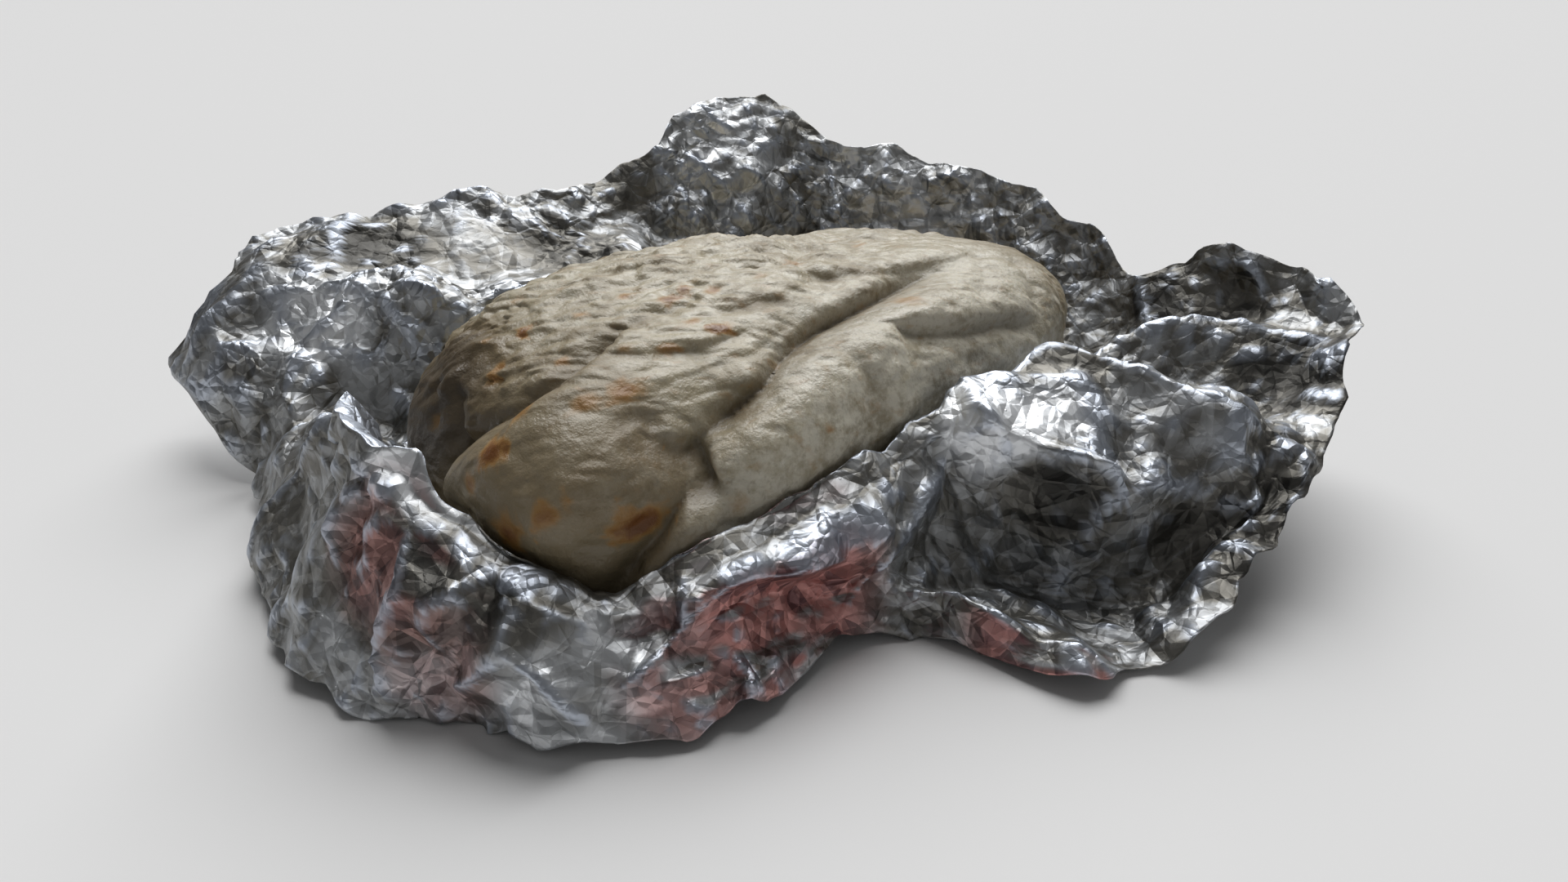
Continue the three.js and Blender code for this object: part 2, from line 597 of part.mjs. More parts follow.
function foilGeometry() {
  const creases = SHEET_CREASES.map((crease) => ({ ...crease, line: crease.line.map(flatPlace) }));
  const creasePush = (crease, flat) => {
    const { distance, travel } = nearestOnLine(crease.line, flat);
    return crease.height * fadeEnds(CREASE_ENDS, travel) * Math.exp(-distance / crease.width);
  };
  const columns = [];
  for (let i = 0; i < COLUMNS; i++) columns.push(sheetColumn((2 * Math.PI * i) / COLUMNS));
  const rows = columns[0].length;

  // the upper side, with its crumples pushed up or down along the sheet's own facing
  const upper = [new THREE.Vector3(0, 0, FOIL_THICKNESS)];
  for (let i = 0; i < COLUMNS; i++) {
    const angle = (2 * Math.PI * i) / COLUMNS;
    const out = new THREE.Vector3(Math.cos(angle), Math.sin(angle), 0);
    columns[i].forEach((place, j) => {
      const before = columns[i][Math.max(j - FACING_REACH, 0)];
      const after = columns[i][Math.min(j + FACING_REACH, rows - 1)];
      const facing = new THREE.Vector2(before.height - after.height, after.reach - before.reach);
      facing.normalize();
      const flat = out.clone().multiplyScalar(place.unrolled);
      const smooth = out.clone().multiplyScalar(place.reach).setZ(place.height);
      let push = 0;
      for (const { cell, height, seed } of CRUMPLES) push += height * facets(smooth, cell, seed);
      for (const crease of creases) push += creasePush(crease, flat);
      push *= ease(0, 2, place.share);
      const point = out.clone().multiplyScalar(place.reach + push * facing.x);
      point.z = place.height + push * facing.y + FOIL_THICKNESS;
      if (j > 0) clearOfBurrito(point);
      point.z = Math.max(point.z, FOIL_THICKNESS);
      upper.push(point);
    });
  }
  const at = (i, j) => 1 + (i % COLUMNS) * rows + j;
  const faces = [];
  for (let i = 0; i < COLUMNS; i++) {
    faces.push([0, at(i, 0), at(i + 1, 0)]);
    for (let j = 0; j + 1 < rows; j++) {
      faces.push([at(i, j), at(i, j + 1), at(i + 1, j + 1)]);
      faces.push([at(i, j), at(i + 1, j + 1), at(i + 1, j)]);
    }
  }

  // the lower side lies one thickness behind the upper one
  const skin = new THREE.BufferGeometry().setFromPoints(upper);
  skin.setIndex(faces.flat());
  skin.computeVertexNormals();
  const normal = skin.getAttribute("normal");
  const lower = upper.map((point, i) => {
    const inward = new THREE.Vector3().fromBufferAttribute(normal, i).multiplyScalar(-FOIL_THICKNESS);
    const place = point.clone().add(inward);
    const flat = i === 0 || (i - 1) % rows === 0;
    place.z = flat ? 0 : Math.max(place.z, 0);
    return place;
  });
  const below = upper.length;
  const underside = faces.map(([a, b, c]) => [a + below, c + below, b + below]);
  const edge = [];
  for (let i = 0; i < COLUMNS; i++) {
    const here = at(i, rows - 1);
    const next = at(i + 1, rows - 1);
    edge.push([here, here + below, next + below], [here, next + below, next]);
  }
  const geometry = new THREE.BufferGeometry().setFromPoints([...upper, ...lower]);
  geometry.setIndex([...faces, ...underside, ...edge].flat());
  geometry.computeVertexNormals();
  return geometry;
}

// ---------------------------------------------------------------- the finished part

const toastedTortilla = new THREE.MeshStandardMaterial({
  color: 0xb9a987,
  roughness: 0.62,
  metalness: 0,
});

const crumpledFoil = new THREE.MeshStandardMaterial({
  color: 0xa8a8aa,
  roughness: 0.34,
  metalness: 1,
});

const burrito = new THREE.Mesh(burritoGeometry(), toastedTortilla);
burrito.name = "burrito";

const foil = new THREE.Mesh(foilGeometry(), crumpledFoil);
foil.name = "foil";

// The frame's origin is the middle of the whole part's box, on the surface that it lies on.
const part = new THREE.Group();
part.add(burrito, foil);
const box = new THREE.Box3().setFromObject(part, true);
const middle = box.getCenter(new THREE.Vector3());
for (const piece of [burrito, foil]) piece.position.set(-middle.x, -middle.y, -box.min.z);

export default part;
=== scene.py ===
# %% [markdown]
# # A burrito in its opened foil
# A large flour tortilla has been folded over its filling: the near end is tucked in as a flap, one
# long side is rolled over the other, and the whole parcel was wrapped in kitchen foil. Now the foil
# is opened. It stands up round the burrito as a crumpled tray with four flaps.
#
# Two pieces are made here, the tortilla parcel and the foil sheet. Both start from a plain bmesh
# shape, and every corner of its mesh is then moved to a place that is worked out from named sizes.

import math

import bmesh
import bpy
import numpy as np
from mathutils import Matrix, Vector, noise


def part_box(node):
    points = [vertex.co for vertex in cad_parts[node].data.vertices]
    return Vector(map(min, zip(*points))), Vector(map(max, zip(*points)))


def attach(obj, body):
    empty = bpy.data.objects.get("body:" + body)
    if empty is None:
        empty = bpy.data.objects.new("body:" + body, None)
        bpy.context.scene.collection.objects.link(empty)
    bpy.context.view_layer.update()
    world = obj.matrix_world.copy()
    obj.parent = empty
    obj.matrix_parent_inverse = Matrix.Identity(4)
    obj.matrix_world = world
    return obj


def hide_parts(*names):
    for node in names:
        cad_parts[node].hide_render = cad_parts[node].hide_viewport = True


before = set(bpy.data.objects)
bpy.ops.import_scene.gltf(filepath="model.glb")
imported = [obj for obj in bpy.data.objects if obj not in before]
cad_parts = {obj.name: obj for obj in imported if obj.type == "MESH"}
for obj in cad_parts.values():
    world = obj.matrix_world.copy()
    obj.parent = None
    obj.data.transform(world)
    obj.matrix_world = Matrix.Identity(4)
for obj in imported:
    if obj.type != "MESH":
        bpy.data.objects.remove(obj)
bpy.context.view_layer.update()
MM = 0.001  # the script thinks in millimetres, and Blender in metres

# %% [markdown]
# ## The parcel without its folds
# Before any fold is pressed in, the parcel is a loaf: a rounded box with a flat belly. A
# superellipsoid gives that from six numbers. It is written as a reach: how far the skin lies from
# the middle in a given direction. A fold is then only a small change of that reach, so the skin can
# never turn inside out or tear, which sculpting by hand risks.

# %% Size of the parcel, mm
HALF_LENGTH = 75
HALF_WIDTH = 46.3
CROWN_HEIGHT = 26.3  # from the middle up
BELLY_DEPTH = 24  # from the middle down
PLAN_SQUARENESS = 3.6
CROWN_SQUARENESS = 2.8
BELLY_SQUARENESS = 4
SOLID_FOIL = 0.7  # the frame's foil is this thick, and the parcel lies on it
REST_GAP = 0.3
MIDDLE = np.array([0, 0, SOLID_FOIL + REST_GAP + BELLY_DEPTH])


# %% The loaf's reach in a direction
def length_of(vectors):
    return np.sqrt((vectors**2).sum(-1))


def ease(low, high, values):
    """0 below low, 1 above high, smooth between."""
    share = np.clip((values - low) / (high - low), 0, 1)
    return share * share * (3 - 2 * share)


def spot(points, place, radius, edge):
    """1 in the middle of a round spot, 0 outside it; its edge is given in shares of the radius."""
    return 1 - ease(*edge, length_of(points - place) / radius)


def loaf_reach(directions):
    x, y, z = directions[..., 0], directions[..., 1], directions[..., 2]
    height = np.where(z > 0, CROWN_HEIGHT, BELLY_DEPTH)
    squareness = np.where(z > 0, CROWN_SQUARENESS, BELLY_SQUARENESS)
    plan = np.abs(x / HALF_LENGTH) ** PLAN_SQUARENESS + np.abs(y / HALF_WIDTH) ** PLAN_SQUARENESS
    total = plan ** (squareness / PLAN_SQUARENESS) + np.abs(z / height) ** squareness
    return total ** (-1 / squareness)


def onto_loaf(points):
    """Points given from the middle, moved straight out or in until they lie on the loaf."""
    points = np.asarray(points, float)
    directions = points / length_of(points)[..., None]
    return directions * loaf_reach(directions)[..., None]


# %% [markdown]
# ## The folds
# Each fold is a line drawn over the loaf. Along it the skin sinks, and the sheet on the left of the
# line's run lies on top, so that side stands a little higher. Every fold has a depth and width for
# its groove, and a lift and spread for the sheet that lies over it.

# %% The large folds, as (line, depth, width, lift, spread), mm from the parcel's middle
LARGE_FOLDS = {
    "tucked flap": (
        [
            (-40, -9, 25), (-51, -13, 24), (-60, -15, 21), (-67, -12, 16), (-70, -5, 10), (-72, 0, 4),
            (-73, 1, -6),
        ],
        6, 3.6, 4.4, 11,
    ),
    "inside of the roll": (
        [
            (36, -26, 24), (22, -28, 24), (8, -28, 22), (-8, -28, 20), (-21, -32, 19), (-28, -35, 17),
            (-39, -38, 15), (-49, -37, 12),
        ],
        8, 3.6, 2.8, 8,
    ),
    "end of the roll": ([(-49, -37, 13), (-50, -40, 12), (-49, -42, 9), (-47, -43, 6)], 2.6, 2.6, 1, 6),
    "roll's foot over the flap": (
        [
            (-45, -43, 7), (-49, -43, 6.5), (-53, -42, 6), (-56, -42, 3), (-58, -42, 1), (-61, -40, -3),
            (-65, -36, -10),
        ],
        4.4, 2.4, 3, 8,
    ),
    "pleat on the flap": (
        [(-60, -31, 19), (-56, -33, 18), (-57, -36, 15), (-56, -39, 13), (-53, -41, 11), (-48, -43, 7)],
        4, 3, -2.2, 6,
    ),
    "top sheet's edge": (
        [(2, -10, 26), (6, -15, 25), (14, -19, 24), (25, -22, 24), (38, -23, 23), (50, -21, 22)],
        1.2, 3, 1.4, 9,
    ),
    "lobe on the roll": (
        [(2, -37, 21), (9, -40, 19), (20, -42, 17), (30, -42, 16), (44, -42, 12)],
        3, 2.4, 1.8, 7,
    ),
    "near end's groove": (
        [(-69, 10, 15), (-71, 5, 11), (-73, 3, 7), (-74, 0, 1), (-74, -1, -9)],
        3.6, 2.8, 1, 5,
    ),
    "crease behind the flap": (
        [(-50, -15, 24), (-45, -20, 24), (-34, -24, 23), (-21, -23, 23)],
        1.6, 3, 1.2, 8,
    ),
    "crease over the top": ([(-40, -9, 25), (-34, -9, 26), (-26, -9, 27)], 1.8, 3, 1, 7),
    "back end's flap": (
        [(38, 8, 24), (48, 10, 22), (59, 6, 21), (62, -5, 20), (63, -16, 19)],
        1.6, 2.4, -1.6, 6,
    ),
}

# %% Where the filling swells the skin or leaves it sunken, as (place, radius, height), mm
SWELLINGS = {
    "dome of the tucked flap": ((-66, -28, 6), 17, 5),
    "roll, near half": ((-22, -41, 17), 17, 3.5),
    "roll, middle": ((14, -38, 18), 19, 3.5),
    "roll, far half": ((44, -32, 16), 20, 3),
    "back of the flap": ((-55, -14, 23), 13, 2.5),
    "top": ((-18, 8, 26), 30, 2),
    "sunken far end of the top": ((36, 6, 25), 20, -4),
    "far end's back corner": ((40, 36, 19), 20, -8),
    "back of the far end": ((60, 24, 18), 12, -3),
    "slope down to the roll": ((-42, -32, 19), 12, -5.5),
    "hollow in the roll's end": ((-48, -41, 11), 7, -2),
    "roll's foot": ((-42, -46, -3), 14, 3.5),
    "same slope, further on": ((-20, -27, 23), 12, -3),
    "far end's fold": ((64, -20, 15), 14, 3),
    "pulled in near corner": ((-66, 34, 12), 16, -4),
}

# %% What a fold does to the skin
FOLD_ENDS = (-0.08, 0.16)  # a fold fades in over this share of its line, at both ends
EDGE_ROUNDING = 1.5
CRACK = 3.2  # how much narrower the crack is at the bottom of a groove
NARROWEST_CRACK = 1.5
BELLY_FADE = (-0.9, -0.5)  # relief ends between these shares of the belly's depth


def nearest_on_fold(line, points):
    """Distance to a fold's line, the side of it, how far along it, and the nearest place."""
    line = onto_loaf(line)
    distance = np.full(len(points), np.inf)
    side = np.ones(len(points))
    travel = np.zeros(len(points))
    nearest = np.zeros_like(points)
    for i, (start, end) in enumerate(zip(line[:-1], line[1:])):
        run = end - start
        share = np.clip(((points - start) @ run) / (run @ run), 0, 1)
        place = start + share[:, None] * run
        away = points - place
        here = length_of(away)
        closer = here < distance
        turn = (np.cross(run, away) * points).sum(1)
        distance = np.where(closer, here, distance)
        side = np.where(closer, np.where(turn > 0, 1, -1), side)
        travel = np.where(closer, (i + share) / (len(line) - 1), travel)
        nearest = np.where(closer[:, None], place, nearest)
    return distance, side, travel, nearest


def fold_relief(fold, points):
    line, depth, width, lift, spread = fold
    distance, side, travel, _ = nearest_on_fold(line, points)
    fade = ease(*FOLD_ENDS, travel) * ease(*FOLD_ENDS, 1 - travel)
    crack = np.exp(-distance / max(width / CRACK, NARROWEST_CRACK))
    groove = -depth * (0.5 * np.exp(-((distance / width) ** 2)) + 0.5 * crack)
    rise = 1 - np.exp(-distance / EDGE_ROUNDING)
    last = FOLD_ENDS[1]
    shelf_fade = ease(0, last, travel) * ease(0, last, 1 - travel)
    shelf = shelf_fade * side * lift * rise * np.exp(-distance / spread)
    return fade * groove + shelf


def parcel_reach(directions, folds=LARGE_FOLDS):
    points = directions * loaf_reach(directions)[:, None]
    relief = np.zeros(len(points))
    for fold in folds.values():
        relief += fold_relief(fold, points)
    for place, radius, height in SWELLINGS.values():
        relief += height * np.exp(-((length_of(points - onto_loaf(place)) / radius) ** 2))
    bare, full = BELLY_FADE
    return length_of(points) + relief * ease(bare * BELLY_DEPTH, full * BELLY_DEPTH, points[:, 2])


# %% [markdown]
# ## Small folds
# Between the large folds the skin is gathered into short ones. They are made in the same way, and
# only the fine mesh has them.

# %% The small folds, in the same terms
SMALL_FOLDS = {
    "beside the near groove": ([(-70, 17, 14), (-73, 12, 11), (-73, 11, 6)], 1.6, 2, 0.8, 4),
    "dent in the flap": ([(-62, -24, 21), (-66, -24, 17), (-70, -25, 12)], 1.2, 4, 0.4, 6),
    "across the roll": ([(-11, -38, 21), (-10, -43, 17), (-11, -46, 11)], 1, 2, 0.5, 4),
    "first far pleat": ([(47, -22, 22), (37, -31, 21), (27, -39, 20)], 1.2, 2, 0.8, 4),
    "second far pleat": ([(54, -27, 21), (50, -35, 19), (46, -41, 15)], 1.4, 2, 0.8, 4),
    "third far pleat": ([(62, -24, 18), (60, -33, 15), (57, -39, 10)], 1.2, 2, 0.7, 4),
    "top, left": ([(-48, 12, 24), (-38, 10, 25), (-28, 6, 26), (-16, 4, 26)], 0.9, 2, 0.6, 4),
    "top, further left": ([(-52, 20, 22), (-40, 20, 24), (-26, 16, 25)], 0.8, 2, 0.5, 4),
    "top, middle": ([(-14, -4, 27), (0, -3, 26), (12, -8, 25)], 0.8, 2, 0.5, 4),
    "top, right": ([(2, 6, 26), (14, 4, 25), (28, 2, 24)], 0.8, 2, 0.5, 4),
    "slope, upper": ([(-30, -16, 26), (-18, -17, 25), (-6, -19, 24)], 1, 2.4, 0.6, 5),
    "slope, lower": ([(-36, -28, 21), (-26, -29, 21), (-14, -25, 22)], 1, 2.4, 0.6, 4),
    "roll's top": ([(-30, -40, 17), (-18, -37, 19), (-4, -33, 21)], 0.8, 2.2, 0.6, 4),
    "flap's foot": ([(-54, -41, 4), (-62, -38, 3), (-68, -34, 0)], 1, 3, 0.4, 5),
}

# %% [markdown]
# ## The parcel's mesh
# The mesh starts as a bmesh cube. It is cut finely along each of its three directions, so that the
# faces are near square all over, and each corner is then moved out to the skin. A cube cut this way
# has no poles, which a sphere would have right where the folds are.

# %% Cut a cube into fine faces and move its corners
PARCEL_CUTS = (206, 128, 50)  # along X, Y and Z


def cut_cube(cuts):
    """A bmesh cube of side 2, cut into cuts + 1 strips along each axis."""
    mesh = bmesh.new()
    bmesh.ops.create_cube(mesh, size=2)
    for axis, count in enumerate(cuts):
        along = [e for e in mesh.edges if abs((e.verts[0].co - e.verts[1].co)[axis]) > 1e-6]
        bmesh.ops.subdivide_edges(mesh, edges=along, cuts=count, use_grid_fill=True)
    return mesh


def corners_of(mesh):
    return np.array([vertex.co for vertex in mesh.verts])


def set_corners(mesh, points):
    for vertex, point in zip(mesh.verts, points):
        vertex.co = point


parcel_mesh = cut_cube(PARCEL_CUTS)
cube_corners = corners_of(parcel_mesh) * [HALF_LENGTH, HALF_WIDTH, (CROWN_HEIGHT + BELLY_DEPTH) / 2]
skin = onto_loaf(cube_corners)
skin_directions = skin / length_of(skin)[:, None]
reach = parcel_reach(skin_directions, {**LARGE_FOLDS, **SMALL_FOLDS})
print("parcel mesh:", len(parcel_mesh.verts), "corners")

# %% Find where the frame puts the parcel
plain_parcel = MIDDLE + skin_directions * parcel_reach(skin_directions)[:, None]
own_middle = (plain_parcel.min(0) + plain_parcel.max(0)) / 2
box_low, box_high = (np.array(corner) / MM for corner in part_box("burrito"))
SHIFT = ((box_low + box_high) / 2 - own_middle) * [1, 1, 0]
print("parcel's middle lies at", SHIFT.round(2), "mm from the frame's origin")

# %% [markdown]
# ## Wrinkles of a steamed tortilla
# A tortilla that has steamed in foil is soft, and its skin shrinks into fine wrinkles that run
# aslant over the parcel, with soft dimples between them. Noise that is stretched that way makes them.
# They are moved into the mesh, because at this size they show at the outline.

# %% Add the wrinkles and dimples
DIMPLES = (10, 1)  # size and height, mm
GATHERS = (5.5, 1.25)
WRINKLES = (2.5, 0.75)
WRINKLE_STRETCH = 2
WRINKLE_WAY = math.radians(-34)  # the way the wrinkles run, from X towards Y
WRINKLE_BEND = (16, 3)  # size and height of the waves in their run
WRINKLED_TOP = ((-26, 0), (4, 20))  # they grow strong between these values of Y, and of Z
ELSEWHERE = 0.3  # their strength on the rest of the skin


def noise_at(points, size, seed):
    """Smooth noise from -1 to 1 at every point."""
    return np.array([noise.noise(Vector(point)) for point in points / size + seed])


def ridges_at(points, size, seed):
    """Long rounded ridges with sharp valleys between them, from -1 to 1."""
    cosine, sine = math.cos(WRINKLE_WAY), math.sin(WRINKLE_WAY)
    turned = points @ np.array([[cosine, -sine, 0], [sine, cosine, 0], [0, 0, 1]])
    return 2 * np.abs(noise_at(turned / [WRINKLE_STRETCH, 1, 1], size, seed)) - 1


dimple_size, dimple_height = DIMPLES
gather_size, gather_height = GATHERS
wrinkle_size, wrinkle_height = WRINKLES
bend_size, bend_height = WRINKLE_BEND
over_y, over_z = WRINKLED_TOP
bent = skin + bend_height * noise_at(skin, bend_size, 7)[:, None]
strength = ELSEWHERE + (1 - ELSEWHERE) * (ease(*over_y, skin[:, 1]) * ease(*over_z, skin[:, 2]))
reach = reach + dimple_height * noise_at(skin, dimple_size, 11)
reach = reach + strength * gather_height * ridges_at(bent, gather_size, 17)
reach = reach + strength * wrinkle_height * ridges_at(bent, wrinkle_size, 23)
parcel_points = MIDDLE + skin_directions * reach[:, None]
parcel_points[:, 2] = np.maximum(parcel_points[:, 2], MIDDLE[2] - BELLY_DEPTH)
set_corners(parcel_mesh, (parcel_points + SHIFT) * MM)


# %% Make it an object
def add_piece(name, mesh, node):
    """The bmesh as an object that stands for a node of the frame."""
    data = bpy.data.meshes.new(name)
    mesh.to_mesh(data)
    mesh.free()
    for face in data.polygons:
        face.use_smooth = True
    piece = bpy.data.objects.new(name, data)
    bpy.context.scene.collection.objects.link(piece)
    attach(piece, "root")
    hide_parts(node)
    print(name, "has", len(data.polygons), "faces")
    return piece


tortilla = add_piece("tortilla_parcel", parcel_mesh, "burrito")

# %% [markdown]
# ## Toasted spots
# Where bubbles of the dough touched the griddle, the tortilla has orange-brown spots. The large ones
# are on the tucked flap, and small dashes run over the top. Each is a soft disc on the skin, and it
# is kept as an attribute of the mesh, so that the colour stays on the skin where it belongs.

# %% Toast marks as (place, radius, strength), mm from the parcel's middle
TOAST_MARKS = [
    ((-61, -40, 4), 4.6, 1), ((-73, -33, 8), 3, 0.7), ((-73, -18, 14), 3.4, 0.9),
    ((-76, -16, 8), 2.4, 0.7), ((-76, -26, 3), 3.6, 0.8), ((-53, 7, 22), 2.2, 0.8),
    ((-60, 12, 21), 1.4, 0.4), ((-62, 3, 19), 1.7, 0.6), ((-65, 1, 18), 2, 0.6), ((-42, 2, 24), 1.6, 0.4),
    ((-34, 2, 27), 2, 0.6), ((-29, -6, 28), 3, 0.75), ((-24, -5, 28), 2.2, 0.7), ((-19, -9, 27), 2, 0.6),
    ((-27, -21, 24), 2.8, 0.8), ((-31, -17, 26), 2, 0.5), ((-40, -21, 24), 2.4, 0.55),
    ((-47, -18, 25), 2.2, 0.4), ((-52, -26, 21), 3.2, 0.6), ((-60, -25, 21), 3, 0.5),
    ((-68, -17, 19), 2.6, 0.5), ((7, -6, 28), 2.6, 0.7), ((-6, -9, 25), 1.8, 0.4),
    ((11, -33, 23), 2.8, 0.4), ((-53, -8, 21), 1.8, 0.5), ((-44, -46, 4), 2.4, 0.3),
    ((-24, -48, 12), 1.2, 0.5), ((-74, 12, 8), 2.2, 0.4), ((38, 2, 24), 2, 0.4), ((-46, 22, 23), 2, 0.3),
    ((-14, 14, 26), 2, 0.3), ((60, -40, 6), 2.4, 0.3),
]
TOAST_EDGE = (0.1, 1.15)
RAGGED_EDGE = [(3.2, 31), (1.3, 37)]  # size and seed of what breaks up a mark's edge
TOAST_STRETCH = [0.75, 0.95, 1]
toast = np.zeros(len(skin))
ragged = 1 + sum(0.5 * noise_at(skin, size, seed) for size, seed in RAGGED_EDGE)
for place, radius, strength in TOAST_MARKS:
    distance = length_of((skin - onto_loaf(place)) * TOAST_STRETCH)
    toast = np.maximum(toast, strength * (1 - ease(*TOAST_EDGE, distance * ragged / radius)))


def add_attribute(piece, name, values):
    layer = piece.data.attributes.new(name, "FLOAT", "POINT")
    layer.data.foreach_set("value", np.asarray(values, np.float32))


add_attribute(tortilla, "toast", toast)
print("toasted share of the skin:", round(float((toast > 0.2).mean()), 3))

# %% [markdown]
# ## Damp skin, painted shade and painted light
# Steam gathers under the foil, so the skin is damp at the near end and low down, and painted shade
# darkens it there further. The near end's back corner, the far end and the bottoms of the grooves
# get painted shade. The roll stayed dry and floury, with painted light on its shaded side. Each of
# these is an attribute too.

# %% Where the skin is damp and shaded, where it is floury and lit, and the grooves' painted shade
DAMP_AND_SHADE_FADE_X = (-74, -32)  # damp skin and painted shade fade out between these values of X
DAMP_AND_SHADE_FADE_Z = (-10, 10)  # and of Z
DAMP_AND_SHADE_FADING = 0.85
# painted shade in the near end's back corner
SHADED_CORNER = ((-70, 18, 12), 26)  # place and radius
CORNER_SHADE_STRENGTH = 0.9
SHADED_FAR_END = (42, 72)  # painted shade at the far end grows between these values of X
FAR_END_SHADE = 0.6
# the roll's floury places, which also carry painted light on its shaded side and foot
FLOURY_AND_LIT_PLACES = [
    ((32, -36, 20), 26, 0.8), ((4, -38, 20), 24, 0.8), ((-20, -42, 15), 16, 0.6),
    ((-42, -46, 2), 15, 0.9),
]
FULL_SHADE_DEPTH = 5  # a groove this deep gets full painted shade at its bottom
SHADE_WIDTH = 3

# darker at the near end and low down: damp skin and painted shade
damp_and_shade = 1 - DAMP_AND_SHADE_FADING * ease(*DAMP_AND_SHADE_FADE_X, skin[:, 0]) * ease(*DAMP_AND_SHADE_FADE_Z, skin[:, 2])
# painted shade in the near end's back corner
damp_and_shade += CORNER_SHADE_STRENGTH * spot(skin, *SHADED_CORNER, (0.3, 1))
# painted shade at the far end
damp_and_shade += FAR_END_SHADE * ease(*SHADED_FAR_END, skin[:, 0])
# floury places with painted light on the roll
floury_and_lit = np.zeros(len(skin))
for place, radius, strength in FLOURY_AND_LIT_PLACES:
    floury_and_lit = np.maximum(floury_and_lit, strength * spot(skin, place, radius, (0.3, 1.1)))
# painted shade at the bottoms of the grooves
crack = np.zeros(len(skin))
for line, depth, *_ in [*LARGE_FOLDS.values(), *SMALL_FOLDS.values()]:
    distance, _, travel, _ = nearest_on_fold(line, skin)
    fade = ease(*FOLD_ENDS, travel) * ease(*FOLD_ENDS, 1 - travel)
    crack = np.maximum(crack, fade * min(depth / FULL_SHADE_DEPTH, 1) * np.exp(-distance / SHADE_WIDTH))
for name, values in {"damp_and_shade": damp_and_shade, "floury_and_lit": floury_and_lit, "crack": crack}.items():
    add_attribute(tortilla, name, values)
    print(name, "on average:", round(float(values.mean()), 3))

# %% [markdown]
# ## Shader maths
# A node tree is easier to read as a formula. The class below wraps a socket, so that a plus sign
# adds a Math node. Any other node comes from one method, which takes settings and inputs.


# %% A socket that can be calculated with
class Signal:
    """One output socket of a material's node tree."""

    def __init__(self, tree, socket):
        self.tree = tree
        self.socket = socket

    def math(self, operation, *values):
        node = self.tree.add("ShaderNodeMath", {"operation": operation})
        for place, value in enumerate(values):
            self.tree.feed(node.inputs[place], value)
        return Signal(self.tree, node.outputs[0])

    def __add__(self, other):
        return self.math("ADD", self, other)

    def __sub__(self, other):
        return self.math("SUBTRACT", self, other)

    def __mul__(self, other):
        return self.math("MULTIPLY", self, other)

    def __rsub__(self, other):
        return self.math("SUBTRACT", other, self)

    __radd__ = __add__
    __rmul__ = __mul__

    def eased(self, low, high):
        """0 below low, 1 above high, smooth between."""
        node = self.tree.add("ShaderNodeMapRange", {"interpolation_type": "SMOOTHSTEP"})
        self.tree.feed(node.inputs["Value"], self)
        self.tree.feed(node.inputs["From Min"], low)
        self.tree.feed(node.inputs["From Max"], high)
        return Signal(self.tree, node.outputs[0])


class Finish:
    """A material whose nodes are added by name."""

    def __init__(self, name):
        self.material = bpy.data.materials.new(name)
        self.material.use_nodes = True
        self.nodes = self.material.node_tree.nodes
        self.links = self.material.node_tree.links
        self.shader = self.nodes["Principled BSDF"]

    def add(self, kind, settings=()):
        node = self.nodes.new(kind)
        for key, value in dict(settings).items():
            setattr(node, key, value)
        return node

    def feed(self, socket, value):
        if isinstance(value, Signal):
            self.links.new(value.socket, socket)
        else:
            socket.default_value = value

    def node(self, kind, output, settings=(), **inputs):
        """A node of any kind. Underscores in the names of inputs stand for spaces."""
        node = self.add(kind, settings)
        for key, value in inputs.items():
            self.feed(node.inputs[key.replace("_", " ")], value)
        return Signal(self, node.outputs[output])

    def attribute(self, name):
        return self.node("ShaderNodeAttribute", "Fac", {"attribute_name": name})

    def place(self, stretch=(1, 1, 1), turn=0):
        """Object coordinates in metres, for a pattern that is stretched and turned about Z."""
        inputs = {"Vector": self.node("ShaderNodeTexCoord", "Object"), "Scale": stretch}
        kind = {"vector_type": "TEXTURE"}
        return self.node("ShaderNodeMapping", "Vector", kind, Rotation=(0, 0, turn), **inputs)

    def noise(self, place, size_mm, detail, roughness=0.5, settings=()):
        inputs = {"Vector": place, "Scale": 1 / (size_mm * MM), "Detail": detail}
        return self.node("ShaderNodeTexNoise", "Fac", settings, Roughness=roughness, **inputs)

    def cells(self, place, size_mm, output, feature="F1"):
        """Random cells, as their colours or as the distance to their middles or edges."""
        inputs = {"Vector": place, "Scale": 1 / (size_mm * MM)}
        return self.node("ShaderNodeTexVoronoi", output, {"feature": feature}, **inputs)

    def mix(self, share, first, second):
        node = self.add("ShaderNodeMix", {"data_type": "RGBA"})
        self.feed(node.inputs[0], share)
        self.feed(node.inputs[6], first)
        self.feed(node.inputs[7], second)
        return Signal(self, node.outputs[2])

    def bump(self, height, distance_mm, strength, under=None):
        inputs = {"Height": height, "Distance": distance_mm * MM, "Strength": strength}
        if under is not None:
            inputs["Normal"] = under
        return self.node("ShaderNodeBump", "Normal", **inputs)

    def set(self, **inputs):
        for key, value in inputs.items():
            self.feed(self.shader.inputs[key.replace("_", " ")], value)


# %% [markdown]
# ## Finish of the tortilla
# Steamed flour tortilla is a warm beige that is never even: floury pale patches, damp darker ones,
# and toast. Its skin is slightly oily, so the roughness drops in patches, and a little light goes
# into it. The pores are too fine for the mesh, so a Bump node makes them.

# %% Colours and nodes of the tortilla
BEIGE = (0.48, 0.425, 0.30, 1)
# pale flour, also painted light on the roll's shaded side
FLOUR_AND_LIGHT = (0.74, 0.70, 0.58, 1)
# damp brown for random patches, also painted shade at the near end, low down and at the far end
DAMP_AND_SHADE = (0.205, 0.155, 0.085, 1)
